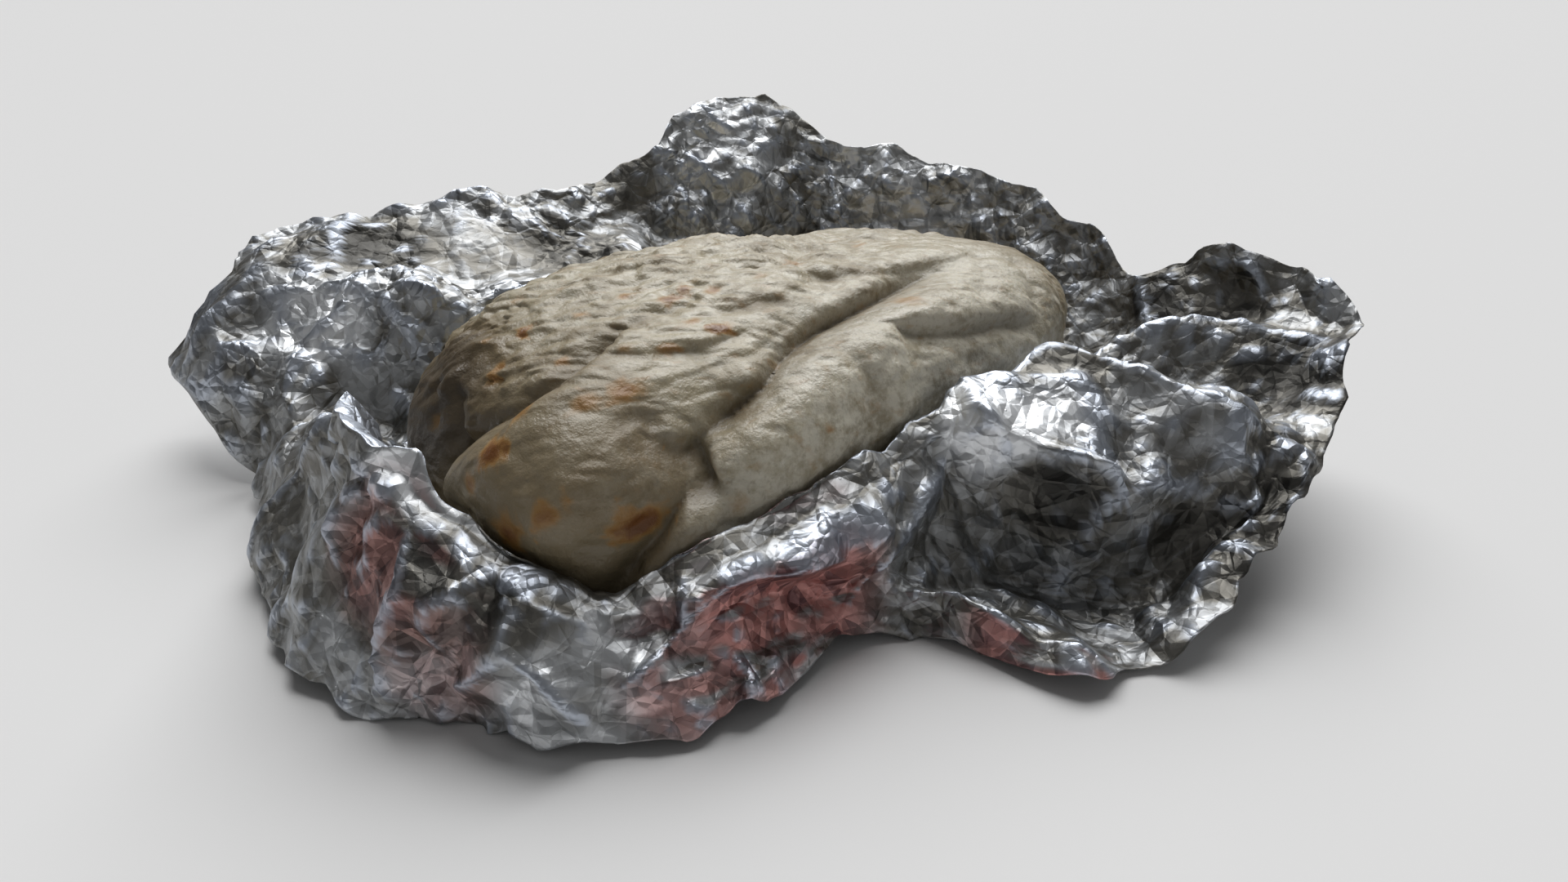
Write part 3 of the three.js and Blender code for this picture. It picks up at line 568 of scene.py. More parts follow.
# painted shade in the near end's back corner
CORNER_SHADE = (0.085, 0.062, 0.036, 1)
# painted shade at the bottoms of the grooves
GROOVE_SHADE = (0.16, 0.12, 0.07, 1)
GOLDEN = (0.38, 0.205, 0.06, 1)
TOAST = (0.16, 0.055, 0.012, 1)
PATCH, FLOUR, GATHER, FRECKLE, GRAIN, SPECK, PORE = 14, 3.4, 3.5, 2.6, 1.9, 1.1, 0.8  # sizes, mm


def tortilla_finish():
    finish = Finish("steamed tortilla")
    place = finish.place()
    along = finish.place((WRINKLE_STRETCH, 1, 1), WRINKLE_WAY)
    patches = finish.noise(place, PATCH, 3)
    flour = finish.noise(place, FLOUR, 5, 0.65)
    specks = finish.noise(place, SPECK, 3, 0.6)
    damp_and_shade = finish.attribute("damp_and_shade")
    colour = finish.mix(0.3 + 0.7 * patches.eased(0.35, 0.6), DAMP_AND_SHADE, BEIGE)
    dusted_and_lit = flour.eased(0.42, 0.66) * (0.85 - 0.5 * damp_and_shade)
    # painted light on the roll's shaded side, where it is also floury
    dusted_and_lit = dusted_and_lit + finish.attribute("floury_and_lit") * flour.eased(0.25, 0.5)
    colour = finish.mix(dusted_and_lit, colour, FLOUR_AND_LIGHT)
    colour = finish.mix(specks.eased(0.5, 0.7) * 0.3, colour, DAMP_AND_SHADE)
    # damp skin and painted shade at the near end and low down, and painted shade at the far end
    colour = finish.mix(damp_and_shade * 0.85, colour, DAMP_AND_SHADE)
    # painted shade in the near end's back corner
    colour = finish.mix(damp_and_shade.eased(1.0, 2.0), colour, CORNER_SHADE)
    # painted shade at the bottoms of the grooves
    colour = finish.mix(finish.attribute("crack") * 0.8, colour, GROOVE_SHADE)
    freckles = finish.noise(along, FRECKLE, 2, 0.6).eased(0.58, 0.72) * (1 - damp_and_shade)
    toasted = finish.attribute("toast") * (0.7 + 0.6 * flour)
    golden = toasted.eased(0.02, 0.6) + 0.35 * freckles
    colour = finish.mix(golden * 0.95, colour, GOLDEN)
    colour = finish.mix(toasted.eased(0.3, 0.95) * 0.95, colour, TOAST)
    creases = finish.noise(along, GATHER, 2, settings={"noise_type": "RIDGED_MULTIFRACTAL"})
    normal = finish.bump(1 - creases, 1.2, 0.9)
    normal = finish.bump(finish.noise(place, GRAIN, 3, 0.6), 0.4, 0.7, normal)
    normal = finish.bump(finish.noise(place, PORE, 3, 0.6), 0.25, 0.7, normal)
    finish.set(
        Base_Color=colour,
        Roughness=0.5 - 0.16 * patches.eased(0.4, 0.65),
        Normal=normal,
        Subsurface_Weight=0.08,
        Subsurface_Scale=0.003,
        Subsurface_Radius=(1.0, 0.6, 0.3),
    )
    return finish.material


tortilla.data.materials.append(tortilla_finish())

# %% [markdown]
# ## How the foil sheet runs
# The foil is one sheet. From its flat middle, under the burrito, it climbs the burrito's side to a
# rim, passes a shoulder and a trough, rises or falls to a lip, and ends at its hem. At each angle
# round the burrito those five folds lie at another reach and height, and smooth curves join them.

# %% The sheet's folds: at each angle, (reach, height) of rim, shoulder, trough, lip and hem, mm
FOLD_NAMES = ("rim", "shoulder", "trough", "lip", "hem")
SHEET_FOLDS = {
    -165: ((83, 26), (88, 24), (94, 18), (97, 10), (102, 1)),
    -157: ((82, 21), (87, 19), (91, 14), (94, 8), (99, 1)),
    -150: ((79, 17), (84, 16), (88, 13), (91, 8), (96, 1)),
    -143: ((74, 21), (80, 18), (83, 13), (87, 7), (92, 1)),
    -134: ((67, 26), (76, 21), (73, 15), (80, 7), (88, 1)),
    -126: ((60, 26), (70, 20), (65, 14), (70, 7), (77, 1)),
    -118: ((54, 29), (66, 18), (61, 11), (64, 6), (69, 1)),
    -110: ((52, 32), (62, 20), (59, 11), (64, 6), (67, 1)),
    -105: ((51, 30), (57, 25), (60, 6), (69, 8), (72, 1)),
    -102: ((50, 30), (55, 26), (62, 4), (75, 8), (81, 1)),
    -98: ((50, 31), (55, 27), (65, 3), (87, 8), (94, 1)),
    -94: ((49, 32), (56, 29), (67, 3), (93, 7), (97, 1)),
    -87: ((51, 34), (61, 32), (70, 3), (92, 4), (103, 4)),
    -80: ((53, 35), (78, 29), (84, 5), (94, 5), (108, 11)),
    -74: ((55, 37), (89, 24), (94, 6), (101, 7), (110, 12)),
    -66: ((58, 38), (83, 32), (100, 24), (106, 13), (113, 15)),
    -60: ((61, 39), (79, 37), (92, 31), (104, 25), (116, 21)),
    -54: ((65, 36), (80, 26), (93, 20), (107, 20), (121, 26)),
    -47: ((71, 33), (84, 24), (98, 20), (115, 24), (127, 32)),
    -40: ((78, 34), (91, 35), (104, 34), (120, 34), (135, 38)),
    -34: ((83, 25), (93, 22), (103, 23), (114, 33), (122, 44)),
    -27: ((86, 20), (94, 20), (101, 27), (107, 38), (111, 45)),
    -19: ((84, 17), (90, 17), (96, 20), (100, 26), (104, 33)),
    -8: ((83, 16), (89, 23), (94, 31), (99, 38), (103, 43)),
    8: ((83, 15), (88, 24), (92, 33), (96, 42), (100, 49)),
    24: ((82, 15), (87, 25), (92, 36), (97, 46), (101, 53)),
    38: ((76, 16), (84, 29), (91, 40), (97, 50), (101, 57)),
    49: ((68, 18), (78, 33), (87, 47), (95, 60), (100, 68)),
    59: ((62, 22), (72, 35), (80, 47), (88, 58), (94, 65)),
    70: ((56, 30), (64, 36), (71, 41), (79, 47), (87, 53)),
    86: ((52, 34), (59, 37), (67, 40), (76, 44), (85, 48)),
    102: ((54, 36), (63, 37), (73, 40), (85, 43), (98, 47)),
    116: ((59, 37), (72, 36), (88, 37), (110, 43), (130, 45)),
    121: ((61, 37), (75, 37), (92, 38), (115, 43), (135, 41)),
    126: ((63, 37), (76, 40), (91, 38), (122, 37), (133, 31)),
    130: ((64, 36), (77, 38), (92, 33), (126, 25), (143, 15)),
    134: ((68, 26), (79, 28), (94, 24), (118, 23), (131, 12)),
    140: ((74, 14), (84, 12), (95, 15), (106, 21), (119, 7)),
    154: ((82, 19), (88, 21), (94, 22), (100, 15), (107, 3)),
    169: ((86, 40), (90, 33), (95, 24), (101, 13), (107, 1)),
    181: ((87, 42), (91, 35), (96, 26), (102, 13), (108, 1)),
}
FLOOR_SHARE = 0.82  # the flat middle's reach, as a share of the burrito's own outline
CRADLE_SHARE = 0.97  # where the sheet has begun to climb
CRADLE_HEIGHT = 4
HEM_TEETH = [(15, 3, 5), (7, 1.6, 6)]  # size, height and seed of the hem's uneven edge
ROUNDNESS = 0.55  # 0 would leave the folds dead sharp, 1 makes them fully round


# %% Flat facets with sharp creases between them
TURN = np.array([[0.36, 0.48, -0.8], [-0.8, 0.6, 0], [0.48, 0.64, 0.6]])  # turns the net aslant
NET_BEND = (0.22, 2.4)  # height and rate of the waves that bend the net, for a cell of 1
SCATTER = ([127.1, 311.7, 74.7], 19.3, 43758.5453)  # weights of a corner and a seed, and the spread


def corner_height(corner, seed):
    weights, seed_weight, spread = SCATTER
    wave = np.sin(corner @ weights + seed * seed_weight) * spread
    return 2 * (wave - np.floor(wave)) - 1


def facets(points, cell, seed):
    """Random heights from -1 to 1 at the corners of a net of tetrahedra, and flat in between."""
    bend, rate = NET_BEND
    turned = points @ TURN
    turned = turned + bend * cell * np.sin(turned[..., [1, 2, 0]] * rate / cell + seed)
    place = (turned + turned.sum(-1, keepdims=True) / 3) / cell
    corner = np.floor(place)
    inside = place - corner
    order = np.argsort(-inside, axis=-1)
    shares = np.take_along_axis(inside, order, -1)
    shares = np.concatenate([np.ones_like(shares[..., :1]), shares, np.zeros_like(shares[..., :1])], -1)
    height = corner_height(corner, seed) * (shares[..., 0] - shares[..., 1])
    for step in range(3):
        corner = corner + np.eye(3)[order[..., step]]
        height += corner_height(corner, seed) * (shares[..., step + 1] - shares[..., step + 2])
    return height


# %% A fold's reach and height at any angle
def outline_reach(angles):
    return loaf_reach(np.stack([np.cos(angles), np.sin(angles), 0 * angles], -1))


def fold_at(name, angles):
    stations = np.radians(list(SHEET_FOLDS))
    values = np.array([folds[FOLD_NAMES.index(name)] for folds in SHEET_FOLDS.values()], float)
    values[:, 0] -= outline_reach(stations)
    turns = (angles - stations[0]) % (2 * np.pi)
    count = len(stations)
    starts = np.searchsorted(stations - stations[0], turns, side="right") - 1

    def station(i):
        return (stations[i % count] - stations[0] + 2 * np.pi * (i // count))[:, None], values[i % count]

    (a0, v0), (a1, v1), (a2, v2), (a3, v3) = (station(starts + k) for k in (-1, 0, 1, 2))
    share = (turns[:, None] - a1) / (a2 - a1)
    slope_in = (a2 - a1) * (v2 - v0) / (a2 - a0)
    slope_out = (a2 - a1) * (v3 - v1) / (a3 - a1)
    s2, s3 = share**2, share**3
    blend = (2 * s3 - 3 * s2 + 1) * v1 + (s3 - 2 * s2 + share) * slope_in
    blend += (3 * s2 - 2 * s3) * v2 + (s3 - s2) * slope_out
    blend[:, 0] += outline_reach(angles)
    return blend


# %% The sheet's profile at any angle, as a smooth curve through its folds
def profile_at(angles):
    """Places of the floor's edge, the cradle and the five folds at each angle: (angle, fold, 2)."""
    outline = outline_reach(angles)
    floor = np.stack([FLOOR_SHARE * outline, 0 * outline], -1)
    cradle = np.stack([CRADLE_SHARE * outline, 0 * outline + CRADLE_HEIGHT], -1)
    places = [floor, cradle] + [fold_at(name, angles) for name in FOLD_NAMES]
    hem = places[-1]
    way_out = (hem - places[-2]) / length_of(hem - places[-2])[:, None]
    edge = np.stack([hem[:, 0] * np.cos(angles), hem[:, 0] * np.sin(angles), hem[:, 1]], -1)
    for size, height, seed in HEM_TEETH:
        hem += height * facets(edge, size, seed)[:, None] * way_out
    return np.stack(places, 1)


def along_profile(profile, shares):
    """Places on a centripetal curve through the profile, at shares counted in folds."""
    first = 2 * profile[:, :1] - profile[:, 1:2]
    last = 2 * profile[:, -1:] - profile[:, -2:-1]
    points = np.concatenate([first, profile, last], 1)
    gaps = np.sqrt(np.maximum(length_of(np.diff(points, axis=1)), 1e-4))[..., None]
    made = []
    for share in shares:
        i = min(int(share), profile.shape[1] - 2)
        t = share - i
        p0, p1, p2, p3 = (points[:, i + k] for k in range(4))
        d0, d1, d2 = (gaps[:, i + k] for k in range(3))
        out = ROUNDNESS * ((p1 - p0) / d0 - (p2 - p0) / (d0 + d1) + (p2 - p1) / d1) * d1
        into = ROUNDNESS * ((p2 - p1) / d1 - (p3 - p1) / (d1 + d2) + (p3 - p2) / d2) * d1
        square = (-3 * p1 + 3 * p2 - 2 * out - into) * t**2
        cube = (2 * p1 - 2 * p2 + out + into) * t**3
        made.append(p1 + out * t + square + cube)
    return np.stack(made, 1)


# %% [markdown]
# ## The sheet's own creases
# Some creases are so large that they can't be left to chance, such as the ridges of the raised
# corner in front. Each one is a line over the sheet, with points given by the angle and by how far
# out they are, counted in folds: 2 is the rim and 6 is the hem. The sheet is pushed up or down along
# the line, and the push falls off on both sides from a sharp edge.

# %% Creases of the sheet, as (height, width, points), mm
SHEET_CREASES = {
    "ridge down the raised corner": (
        2.5, 4,
        [(-64, 2.46), (-68, 2.58), (-73.5, 2.58), (-78.5, 2.9), (-77.5, 3.2)],
    ),
    "its lower edge": (
        2.2, 3.5,
        [
            (-87.5, 2.96), (-84, 3.2), (-80, 3.04), (-78, 3.25), (-73.8, 3.1), (-71, 3.46), (-67, 3.83),
            (-66, 4.5),
        ],
    ),
    "its right ridge": (3, 4.5, [(-60, 2.3), (-62, 3.25), (-63.8, 3.83), (-62.5, 4.54), (-62, 5.46)]),
    "next ridge": (2.6, 5, [(-42, 2.3), (-40.5, 3.2), (-39.5, 4), (-41, 4.8), (-45, 5.9)]),
    "edge of the collar": (
        3, 4,
        [
            (-82, 2.4), (-87, 2.83), (-90.5, 3.17), (-95.2, 3.29), (-102.2, 3.42), (-108.3, 3.54),
            (-116.8, 5),
        ],
    ),
    "corner of the scoop": (
        -2.5, 4,
        [(-86, 3.2), (-85, 3.42), (-84.2, 3.67), (-82.5, 3.83), (-86.5, 4.62)],
    ),
    "hollow of the scoop": (-4.5, 8, [(-96, 2.9), (-91, 3.2), (-88, 3.5), (-84, 3.9), (-80, 4.5)]),
    "first ridge in the scoop": (2.5, 3.5, [(-78, 3.25), (-78.8, 3.46), (-80.8, 3.75), (-83.5, 4.38)]),
    "second ridge in the scoop": (2, 3.5, [(-71, 3.5), (-74.8, 3.45), (-75, 3.62), (-77.5, 4.75)]),
    "third ridge in the scoop": (2, 3.5, [(-66, 4.46), (-67.8, 4.62), (-72, 5.54)]),
    "fold above the lip": (
        2.6, 3,
        [(-87, 4.75), (-82.8, 4.88), (-79.8, 5.08), (-77.8, 5.29), (-76, 5.8)],
    ),
    "crest of the lip": (
        1.6, 3,
        [(-108, 5.2), (-105.8, 5), (-100.2, 4.79), (-97.2, 4.83), (-95.8, 5.25), (-93.2, 5.7)],
    ),
    "ridge of the broad flap": (
        4, 7,
        [(133, 5.8), (132, 5.2), (129, 4.8), (128, 4.2), (125, 3.6), (115, 3.9)],
    ),
    "its fold at the pocket": (3, 5, [(129, 4.2), (132, 3.4), (134, 2.7)]),
    "ridge of the small wing": (2.4, 4, [(134, 5.3), (135, 4.9), (137, 4.3), (140, 4)]),
    "edge below the ear": (2.6, 5, [(172, 2.3), (166, 3.4), (161, 4.4), (160, 5.2), (164, 5.8)]),
    "near wall's eave": (
        2.2, 3.5,
        [
            (-175.5, 3.8), (-172, 3.25), (-168.8, 3.1), (-165.8, 2.67), (-161.5, 3), (-157, 2.83),
            (-150, 3.38), (-143, 3.2),
        ],
    ),
    "ridge down the near wall": (
        4, 4.5,
        [(-168.8, 3.1), (-167, 3.75), (-167.8, 4.4), (-169, 4.9), (-166.5, 5.8)],
    ),
    "facet beside it": (2, 3.5, [(-161, 3), (-163.5, 3.9), (-165, 4.5)]),
    "tent at the near wall's foot": (
        3.5, 4.5,
        [
            (-162.5, 5.9), (-162.2, 5.4), (-158, 4.83), (-154.5, 4.3), (-151.8, 4.6), (-149, 5.25),
            (-146.8, 5.67),
        ],
    ),
    "valley beside the hollow panel": (
        -3, 4.5,
        [(-142.7, 2.67), (-143.5, 3.6), (-144.8, 4.5), (-146, 5.25), (-147, 5.6)],
    ),
    "eave of the hollow panel": (
        3, 3.5,
        [(-122, 2.8), (-131, 2.96), (-136, 3.3), (-140, 3.9), (-142.7, 4.5), (-145.5, 5.2)],
    ),
    "fold beside the back wall": (3, 6, [(70, 5.9), (62, 4.8), (54, 3.6), (47, 2.8)]),
    "crease of the back wall": (3.2, 5, [(38, 5.9), (36, 5), (34, 4.2), (31, 3.4)]),
}
CREASE_ENDS = (-0.1, 0.2)  # a crease fades in over this share of its line, at both ends


# %% What a crease does to the sheet
def crease_push(crease, flat_places, flat_of):
    """How far one crease pushes each place of the flat sheet."""
    height, width, line = crease
    corners = np.array([flat_of(angle, share) for angle, share in line])
    distance = np.full(len(flat_places), np.inf)
    travel = np.zeros(len(flat_places))
    for i, (start, end) in enumerate(zip(corners[:-1], corners[1:])):
        run = end - start
        share = np.clip(((flat_places - start) @ run) / (run @ run), 0, 1)
        here = length_of(flat_places - start - share[:, None] * run)
        closer = here < distance
        distance = np.where(closer, here, distance)
        travel = np.where(closer, (i + share) / (len(corners) - 1), travel)
    fade = ease(*CREASE_ENDS, travel) * ease(*CREASE_ENDS, 1 - travel)
    return height * fade * np.exp(-distance / width)


# %% [markdown]
# ## Crumples
# Foil can't stretch, so it creases into flat facets with sharp edges. Random heights on a net of
# tetrahedra give exactly that, wherever the sheet cuts through it. The heights push the sheet along
# its own facing. There are five sizes of facet, and the small ones come in patches.

# %% Sizes of the facets
CRUMPLES = [(32, 5, 3), (18, 3.2, 8)]  # cell, height and seed
SMALL_CRUMPLES = [(11, 2.2, 41), (6.5, 1.15, 42), (3.8, 0.55, 43)]
CRINKLED = (0.65, 1.4)  # how strong the small crumples are, from the calm patches to the busy ones
CRINKLE_PATCH = 22
CRINKLE_MEAN = 0.8
CRINKLE_SPREAD = 1.5

# %% Calm places, where the sheet has stayed smooth, as (place, radius)
CALM_PLACES = [((8, -66, 34), 16), ((-22, 69, 38), 16), ((-84, -18, 30), 14), ((-30, 82, 41), 14)]
CALMING = 0.7


# %% [markdown]
# ## The foil's mesh
# A straight chain of edges is spun round the Z axis, which makes a flat disc of rings and spokes
# with one corner in the middle. Then every corner moves from its place on the disc to its place on
# the crumpled sheet. A Solidify modifier gives the sheet its thickness.

# %% Spin the disc
SPOKES = 620
ROWS_TO_RIM = 12
ROWS_PER_SPAN = 15
SHEET_THICKNESS = 0.22


def spun_disc(rings, spokes):
    mesh = bmesh.new()
    chain = [mesh.verts.new((ring, 0, 0)) for ring in range(rings + 1)]
    edges = [mesh.edges.new(pair) for pair in zip(chain[:-1], chain[1:])]
    turn = {"cent": (0, 0, 0), "axis": (0, 0, 1), "angle": 2 * math.pi, "steps": spokes}
    bmesh.ops.spin(mesh, geom=chain + edges, use_merge=True, **turn)
    bmesh.ops.remove_doubles(mesh, verts=mesh.verts, dist=1e-4)
    bmesh.ops.recalc_face_normals(mesh, faces=mesh.faces)
    return mesh


row_shares = [0.0]
row_shares += [2 * (i + 1) / ROWS_TO_RIM for i in range(ROWS_TO_RIM)]
row_shares += [2 + (i + 1) / ROWS_PER_SPAN for i in range(ROWS_PER_SPAN * 4)]
rings = len(row_shares)
foil_mesh = spun_disc(rings, SPOKES)
disc = corners_of(foil_mesh)
print("foil mesh:", len(disc), "corners in", rings, "rings")

# %% Lay out the sheet on its grid of spokes and rings
angles = np.arange(SPOKES) * 2 * np.pi / SPOKES
sheet = along_profile(profile_at(angles), row_shares)
steps = length_of(np.diff(sheet, axis=1))
unrolled = np.concatenate([sheet[:, :1, 0], sheet[:, :1, 0] + np.cumsum(steps, 1)], 1)
wide = ROWS_PER_SPAN
ahead = np.concatenate([sheet[:, wide:], np.repeat(sheet[:, -1:], wide, 1)], 1)
behind = np.concatenate([np.repeat(sheet[:, :1], wide, 1), sheet[:, :-wide]], 1)
run = ahead - behind
facing = np.stack([-run[..., 1], run[..., 0]], -1)
facing /= length_of(facing)[..., None]

# %% Push the creases into it
spoke_way = np.stack([np.cos(angles), np.sin(angles)], -1)
flat = unrolled[..., None] * spoke_way[:, None]
flat_places = flat.reshape(-1, 2)
smooth_sheet = np.concatenate([sheet[..., :1] * spoke_way[:, None], sheet[..., 1:]], -1)
patchy = noise_at(smooth_sheet.reshape(-1, 3), CRINKLE_PATCH, 5).reshape(unrolled.shape)
crinkle = np.clip(CRINKLE_MEAN + CRINKLE_SPREAD * patchy, *CRINKLED)
for place, radius in CALM_PLACES:
    crinkle *= 1 - CALMING * spot(smooth_sheet, place, radius, (0.4, 1.1))
push = np.zeros(unrolled.shape)
for cell, height, seed in CRUMPLES:
    push += height * facets(smooth_sheet, cell, seed)
for cell, height, seed in SMALL_CRUMPLES:
    push += crinkle * height * facets(smooth_sheet, cell, seed)


def flat_of(angle, share):
    """The place on the flat sheet at an angle in degrees, so many folds out."""
    spoke = int(round(angle / 360 * SPOKES)) % SPOKES
    return np.interp(share, row_shares, unrolled[spoke]) * spoke_way[spoke]


for crease in SHEET_CREASES.values():
    push += crease_push(crease, flat_places, flat_of).reshape(push.shape)
push *= ease(0, 2, np.array(row_shares))[None]
reach_height = sheet + push[..., None] * facing
foil_points = np.concatenate([reach_height[..., :1] * spoke_way[:, None], reach_height[..., 1:]], -1)
foil_points[..., 2] += SOLID_FOIL


# %% Keep it clear of the burrito and above the floor
def clear_of_parcel(points):
    arms = points - MIDDLE
    reaches = length_of(arms)
    ways = arms / reaches[:, None]
    bridged = np.maximum(parcel_reach(ways), loaf_reach(ways))  # the sheet bridges the grooves
    clear = bridged + REST_GAP + dimple_height + SHEET_THICKNESS
    return np.where((reaches < clear)[:, None], MIDDLE + arms * (clear / reaches)[:, None], points)


beyond_floor = clear_of_parcel(foil_points[:, 1:].reshape(-1, 3)).reshape(foil_points[:, 1:].shape)
foil_points[:, 1:] = beyond_floor
foil_points[..., 2] = np.maximum(foil_points[..., 2], SHEET_THICKNESS)

# %% Move the disc's corners onto the sheet
disc_ring = np.rint(length_of(disc[:, :2])).astype(int)
disc_spoke = np.rint(np.arctan2(disc[:, 1], disc[:, 0]) / (2 * np.pi) * SPOKES).astype(int) % SPOKES
disc_row = np.maximum(disc_ring - 1, 0)
on_sheet = foil_points[disc_spoke, disc_row]
on_sheet[disc_ring == 0] = (0, 0, SHEET_THICKNESS)
set_corners(foil_mesh, (on_sheet + SHIFT) * MM)
foil = add_piece("foil_sheet", foil_mesh, "foil")
solid = foil.modifiers.new("thickness", "SOLIDIFY")
solid.thickness = SHEET_THICKNESS * MM
solid.offset = -1
solid.use_even_offset = False


# %% [markdown]
# ## Finish of the foil
# Kitchen foil is bright metal, but crumpled foil looks grey, because most facets mirror something
# dark. Here the base colour carries painted reflections: one for each small facet and one by each
# facing, painted highlights and painted shade on some places, a bluish painted highlight on the
# sharp ridges, and a painted rose reflection of a warm table on the low outer sides. The finest
# creases and the pin dots of the rolling pattern are too small for the mesh, so Bump nodes make them.

# %% Colours and nodes of the foil
# painted reflections: levels of the metal's base colour, from painted shade to a white painted highlight
HIGHLIGHT_WHITE = (0.93, 0.95, 0.97, 1)
BRIGHT_REFLECTION = (0.53, 0.545, 0.56, 1)
DIM_REFLECTION = (0.19, 0.183, 0.165, 1)
SHADED = (0.075, 0.073, 0.068, 1)
# bluish painted highlight for the sharp ridges
BLUISH_HIGHLIGHT = (0.52, 0.57, 0.66, 1)
# painted rose reflection of a warm table, in a light and a dark tone
ROSE_REFLECTION = (0.66, 0.34, 0.31, 1)
DEEP_ROSE_REFLECTION = (0.16, 0.085, 0.09, 1)
CREASE_CELLS = {13: 3.2, 7: 1.9, 3.4: 0.8}  # size and depth, mm
FACET_REFLECTIONS = {13: 0.4, 7: 0.4, 3.4: 0.2}  # painted reflection for each facet: size, mm, and share
REFLECTION_SPREAD = 1.15
PIN_DOTS = (3.2, (0.05, 0.12))  # spacing, mm, and the edge of a dot as a share of it


def foil_finish():
    finish = Finish("crumpled foil")
    place = finish.place()
    patches = finish.noise(place, 16, 4, 0.6)
    # painted reflection: a tone for each facet, on top of the facing and places stored on the mesh
    facet_reflection = sum(share * finish.cells(place, cell, "Color", "F2") for cell, share in FACET_REFLECTIONS.items())
    painted_reflection = finish.attribute("painted_reflection") * (0.6 + 0.8 * patches) + REFLECTION_SPREAD * (facet_reflection - 0.5)
    # painted reflection sets the base colour, from painted shade up to a white painted highlight
    colour = finish.mix(painted_reflection.eased(-0.8, 0.05), SHADED, DIM_REFLECTION)
    colour = finish.mix(painted_reflection.eased(0.05, 1.0), colour, BRIGHT_REFLECTION)
    colour = finish.mix(painted_reflection.eased(0.95, 1.3), colour, HIGHLIGHT_WHITE)
    # painted rose reflection, with a tone for each facet
    rosy_reflection = finish.mix(facet_reflection.eased(0.25, 0.75), DEEP_ROSE_REFLECTION, ROSE_REFLECTION)
    colour = finish.mix(finish.attribute("rose_reflection"), colour, rosy_reflection)
    # bluish painted highlight on the sharp ridges
    colour = finish.mix(finish.attribute("ridge") * 0.7, colour, BLUISH_HIGHLIGHT)
    crinkle = finish.attribute("crinkle") * 0.7 + 0.3
    normal = None
    for cell, depth in CREASE_CELLS.items():
        roofs = finish.cells(place, cell, "Distance", "DISTANCE_TO_EDGE")
        normal = finish.bump(roofs * crinkle, depth, 0.9, normal)
    spacing, dot_edge = PIN_DOTS
    dots = finish.cells(place, spacing, "Distance")
    normal = finish.bump(finish.noise(place, 1.2, 3, 0.6), 0.1, 0.5, normal)
    normal = finish.bump(1 - dots.eased(*dot_edge), 0.1, 0.6, normal)
    finish.set(
        Base_Color=colour,
        Metallic=1.0,
        Roughness=0.47 + 0.12 * patches.eased(0.3, 0.7) - 0.1 * finish.attribute("ridge"),
        Normal=normal,
    )
    return finish.material


foil.data.materials.append(foil_finish())

# %% Painted highlights, painted shade and painted rose reflections, as (place, radius, strength)
HIGHLIGHT_PLACES = [
    ((5, -62, 34), 12, 1.7), ((20, -66, 35), 9, 1), ((16, -79, 28), 6, 0.8), ((41, -90, 26), 7, 0.6),
    ((-86, -12, 35), 11, 0.8), ((-78, -47, 8), 18, 0.5), ((-99, -18, 8), 16, 0.5),
    ((92, 34, 48), 34, 0.45), ((50, 72, 52), 22, 0.4), ((-25, 90, 46), 14, 0.3), ((-64, 79, 33), 18, 1.2),
    ((97, -58, 43), 12, 0.5),
]
SHADED_PLACES = [
    ((-50, 90, 43), 20, 1.3), ((-4, 65, 39), 14, 1), ((24, 84, 48), 14, 0.6), ((92, -54, 32), 22, 1),
    ((80, -88, 29), 18, 1.3), ((40, -105, 15), 26, 0.8), ((28, -60, 39), 12, 0.8), ((10, -76, 21), 12, 1),
    ((-93, -16, 22), 15, 1.3), ((-80, -35, 19), 11, 0.8),
]
ROSE_REFLECTION_PLACES = [
    ((-43, -56, 14), 21, 1), ((-62, -56, 10), 14, 0.7), ((-93, -14, 25), 15, 0.5),
    ((-92, -28, 12), 12, 0.4), ((-12, -90, 6), 16, 1), ((86, -90, 30), 20, 0.9),
    ((-20, -100, 4), 14, 0.8), ((8, -100, 6), 14, 0.7),
]
REFLECTION_RANGE = (-0.8, 1.6)
LEAST_MIRRORED, MOST_MIRRORED = 0.2, 0.8  # painted reflection by what a facet's facing mirrors
OUTER_DIMMING = 0.4  # the outer sides mirror less light
FACES_OUT = (0.2, 0.8)
FACES_TABLE = (-0.4, 0.1)
RIDGE_HEIGHT = (0.1, 0.4)  # mm above the neighbours, from no ridge to a sharp one

# painted reflection: a light band by each facing, dimmer on the outer sides, plus painted highlights and
# painted shade at places
facing_way = np.array([vertex.normal for vertex in foil.data.vertices])
outward_way = on_sheet[:, :2] / np.maximum(length_of(on_sheet[:, :2]), 1e-6)[:, None]
outward = (facing_way[:, :2] * outward_way).sum(1)
turned_x, turned_y, turned_z = facing_way.T
mirrored = 0.5 + 0.5 * np.sin(5 * turned_x + 4 * np.sin(3 * turned_y + 1) + 6 * turned_z)  # light bands
dimming = 1 - OUTER_DIMMING * ease(*FACES_OUT, outward)
painted_reflection = LEAST_MIRRORED + (MOST_MIRRORED - LEAST_MIRRORED) * mirrored * dimming
for places, way in (HIGHLIGHT_PLACES, 1), (SHADED_PLACES, -1):
    for place, radius, strength in places:
        painted_reflection += way * strength * spot(on_sheet, place, radius, (0.5, 1.1))
# painted rose reflection of a warm table, on faces that turn out and down
rose_reflection = np.zeros(len(on_sheet))
for place, radius, strength in ROSE_REFLECTION_PLACES:
    rose_reflection = np.maximum(rose_reflection, strength * spot(on_sheet, place, radius, (0.6, 1.2)))
rose_reflection *= ease(*FACES_TABLE, outward - turned_z)

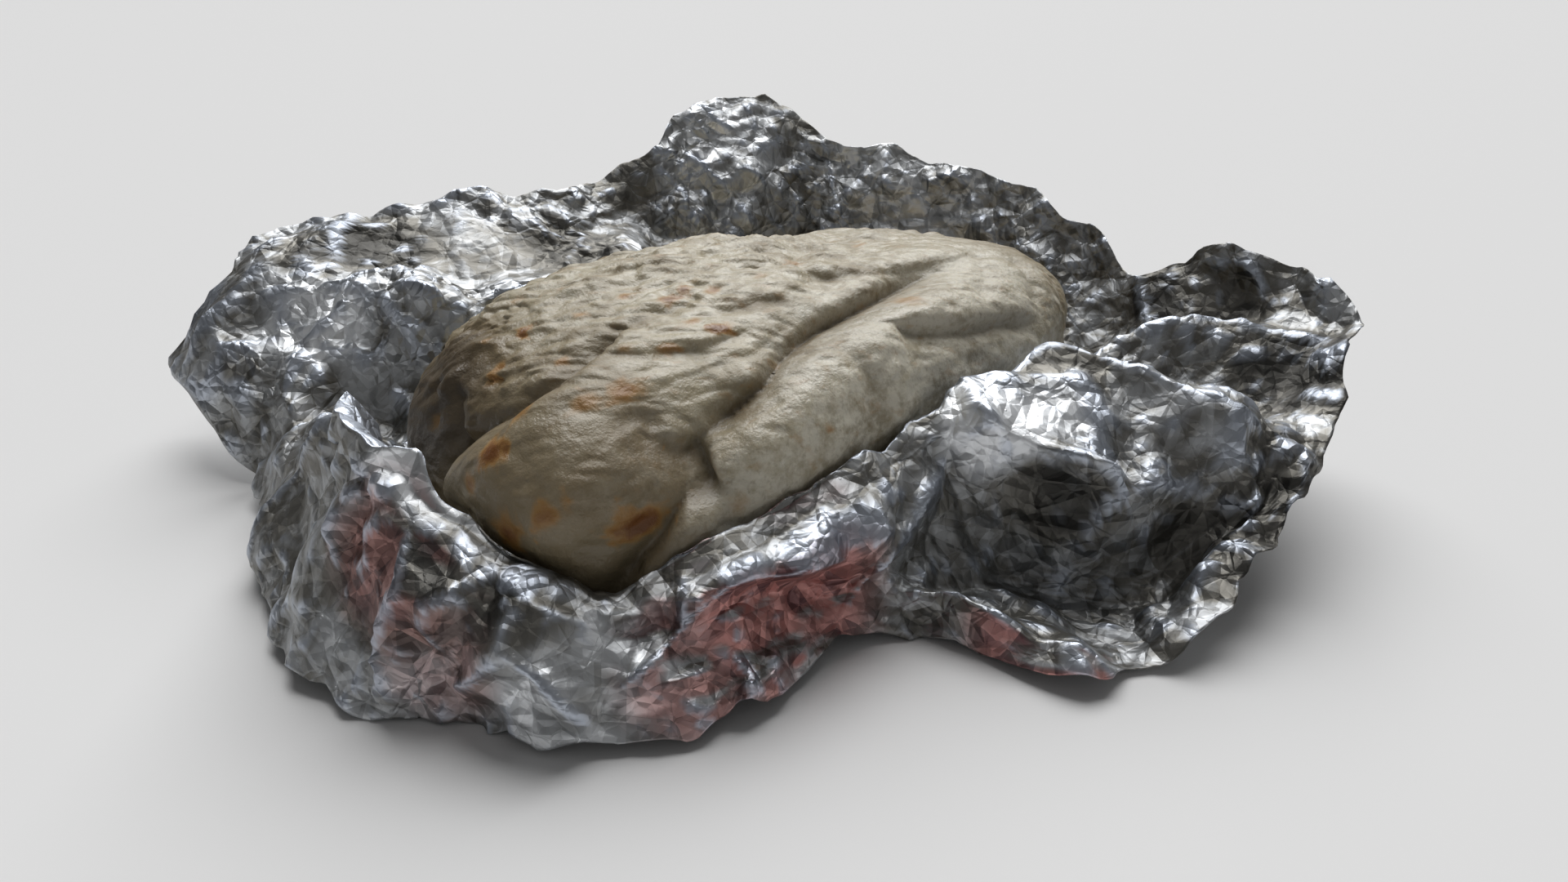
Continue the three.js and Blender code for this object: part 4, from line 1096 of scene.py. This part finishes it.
# %% Find the sharp ridges, which stand above their neighbours two steps away
around = np.roll(foil_points, 2, 0) + np.roll(foil_points, -2, 0)
along = np.concatenate([foil_points[:, :2], foil_points[:, :-2]], 1) + np.concatenate(
    [foil_points[:, 2:], foil_points[:, -2:]], 1
)
hump = (foil_points - (around + along) / 4)[disc_spoke, disc_row]
ridge = ease(*RIDGE_HEIGHT, (hump * facing_way).sum(1))
print("share of the foil on sharp ridges:", round(float((ridge > 0.5).mean()), 3))
add_attribute(foil, "ridge", ridge)
add_attribute(foil, "painted_reflection", np.clip(painted_reflection, *REFLECTION_RANGE))
add_attribute(foil, "crinkle", crinkle[disc_spoke, disc_row])
add_attribute(foil, "rose_reflection", rose_reflection)

# %% [markdown]
# ## Floor, light and camera
# The floor is a plain pale sheet. Foil shows what is round it, so the light matters as much as the
# metal. One wide soft light from behind and above gives the bright facets. The room is dim and
# uneven, so that the facets that mirror it differ too.

# %% Floor
FLOOR_SIDE = 8000
FLOOR_TONE = (0.80, 0.80, 0.80, 1)


def add_floor():
    mesh = bmesh.new()
    bmesh.ops.create_grid(mesh, x_segments=1, y_segments=1, size=FLOOR_SIDE / 2 * MM)
    data = bpy.data.meshes.new("floor")
    mesh.to_mesh(data)
    mesh.free()
    floor = bpy.data.objects.new("floor", data)
    bpy.context.scene.collection.objects.link(floor)
    finish = Finish("pale floor")
    finish.set(Base_Color=FLOOR_TONE, Roughness=0.95)
    data.materials.append(finish.material)


add_floor()

# %% Room light and one wide soft light
ROOM_LIGHT = 0.14
ROOM_PATCHES = {"Scale": 2.6, "Detail": 1}
ROOM_TONES = {"From Min": 0.42, "From Max": 0.6, "To Min": 0.3, "To Max": 1.7}
SOFT_LIGHT = (3.1, 56)  # strength, and how wide it looks in degrees
LIGHT_FROM = (0.45, 0.42, 0.76)


def add_lights():
    room = bpy.data.worlds.new("room")
    room.use_nodes = True
    nodes, links = room.node_tree.nodes, room.node_tree.links
    nodes["Background"].inputs["Strength"].default_value = ROOM_LIGHT
    ways = nodes.new("ShaderNodeTexCoord")
    patches = nodes.new("ShaderNodeTexNoise")
    ramp = nodes.new("ShaderNodeMapRange")
    for node, values in (patches, ROOM_PATCHES), (ramp, ROOM_TONES):
        for name, value in values.items():
            node.inputs[name].default_value = value
    links.new(ways.outputs["Generated"], patches.inputs["Vector"])
    links.new(patches.outputs["Fac"], ramp.inputs["Value"])
    links.new(ramp.outputs["Result"], nodes["Background"].inputs["Color"])
    bpy.context.scene.world = room
    strength, width = SOFT_LIGHT
    data = bpy.data.lights.new("soft light", "SUN")
    data.energy = strength
    data.angle = math.radians(width)
    lamp = bpy.data.objects.new("soft light", data)
    lamp.rotation_euler = Vector(LIGHT_FROM).to_track_quat("Z", "Y").to_euler()
    bpy.context.scene.collection.objects.link(lamp)


add_lights()

# %% Camera
CAMERA_AZIMUTH = -42.5
CAMERA_ELEVATION = 28
CAMERA_DISTANCE = 199.5
LENS = 24.44
TARGET = np.array([-24, -35.6, 30]) + SHIFT


def add_camera():
    azimuth, elevation = math.radians(CAMERA_AZIMUTH), math.radians(CAMERA_ELEVATION)
    back = Vector((
        math.sin(azimuth) * math.cos(elevation),
        -math.cos(azimuth) * math.cos(elevation),
        math.sin(elevation),
    ))
    data = bpy.data.cameras.new("camera")
    data.lens = LENS
    data.clip_start = 0.01
    camera = bpy.data.objects.new("camera", data)
    camera.location = (Vector(TARGET) + back * CAMERA_DISTANCE) * MM
    camera.rotation_euler = (-back).to_track_quat("-Z", "Y").to_euler()
    bpy.context.scene.collection.objects.link(camera)
    bpy.context.scene.camera = camera


add_camera()
bpy.context.scene.view_settings.view_transform = "Standard"
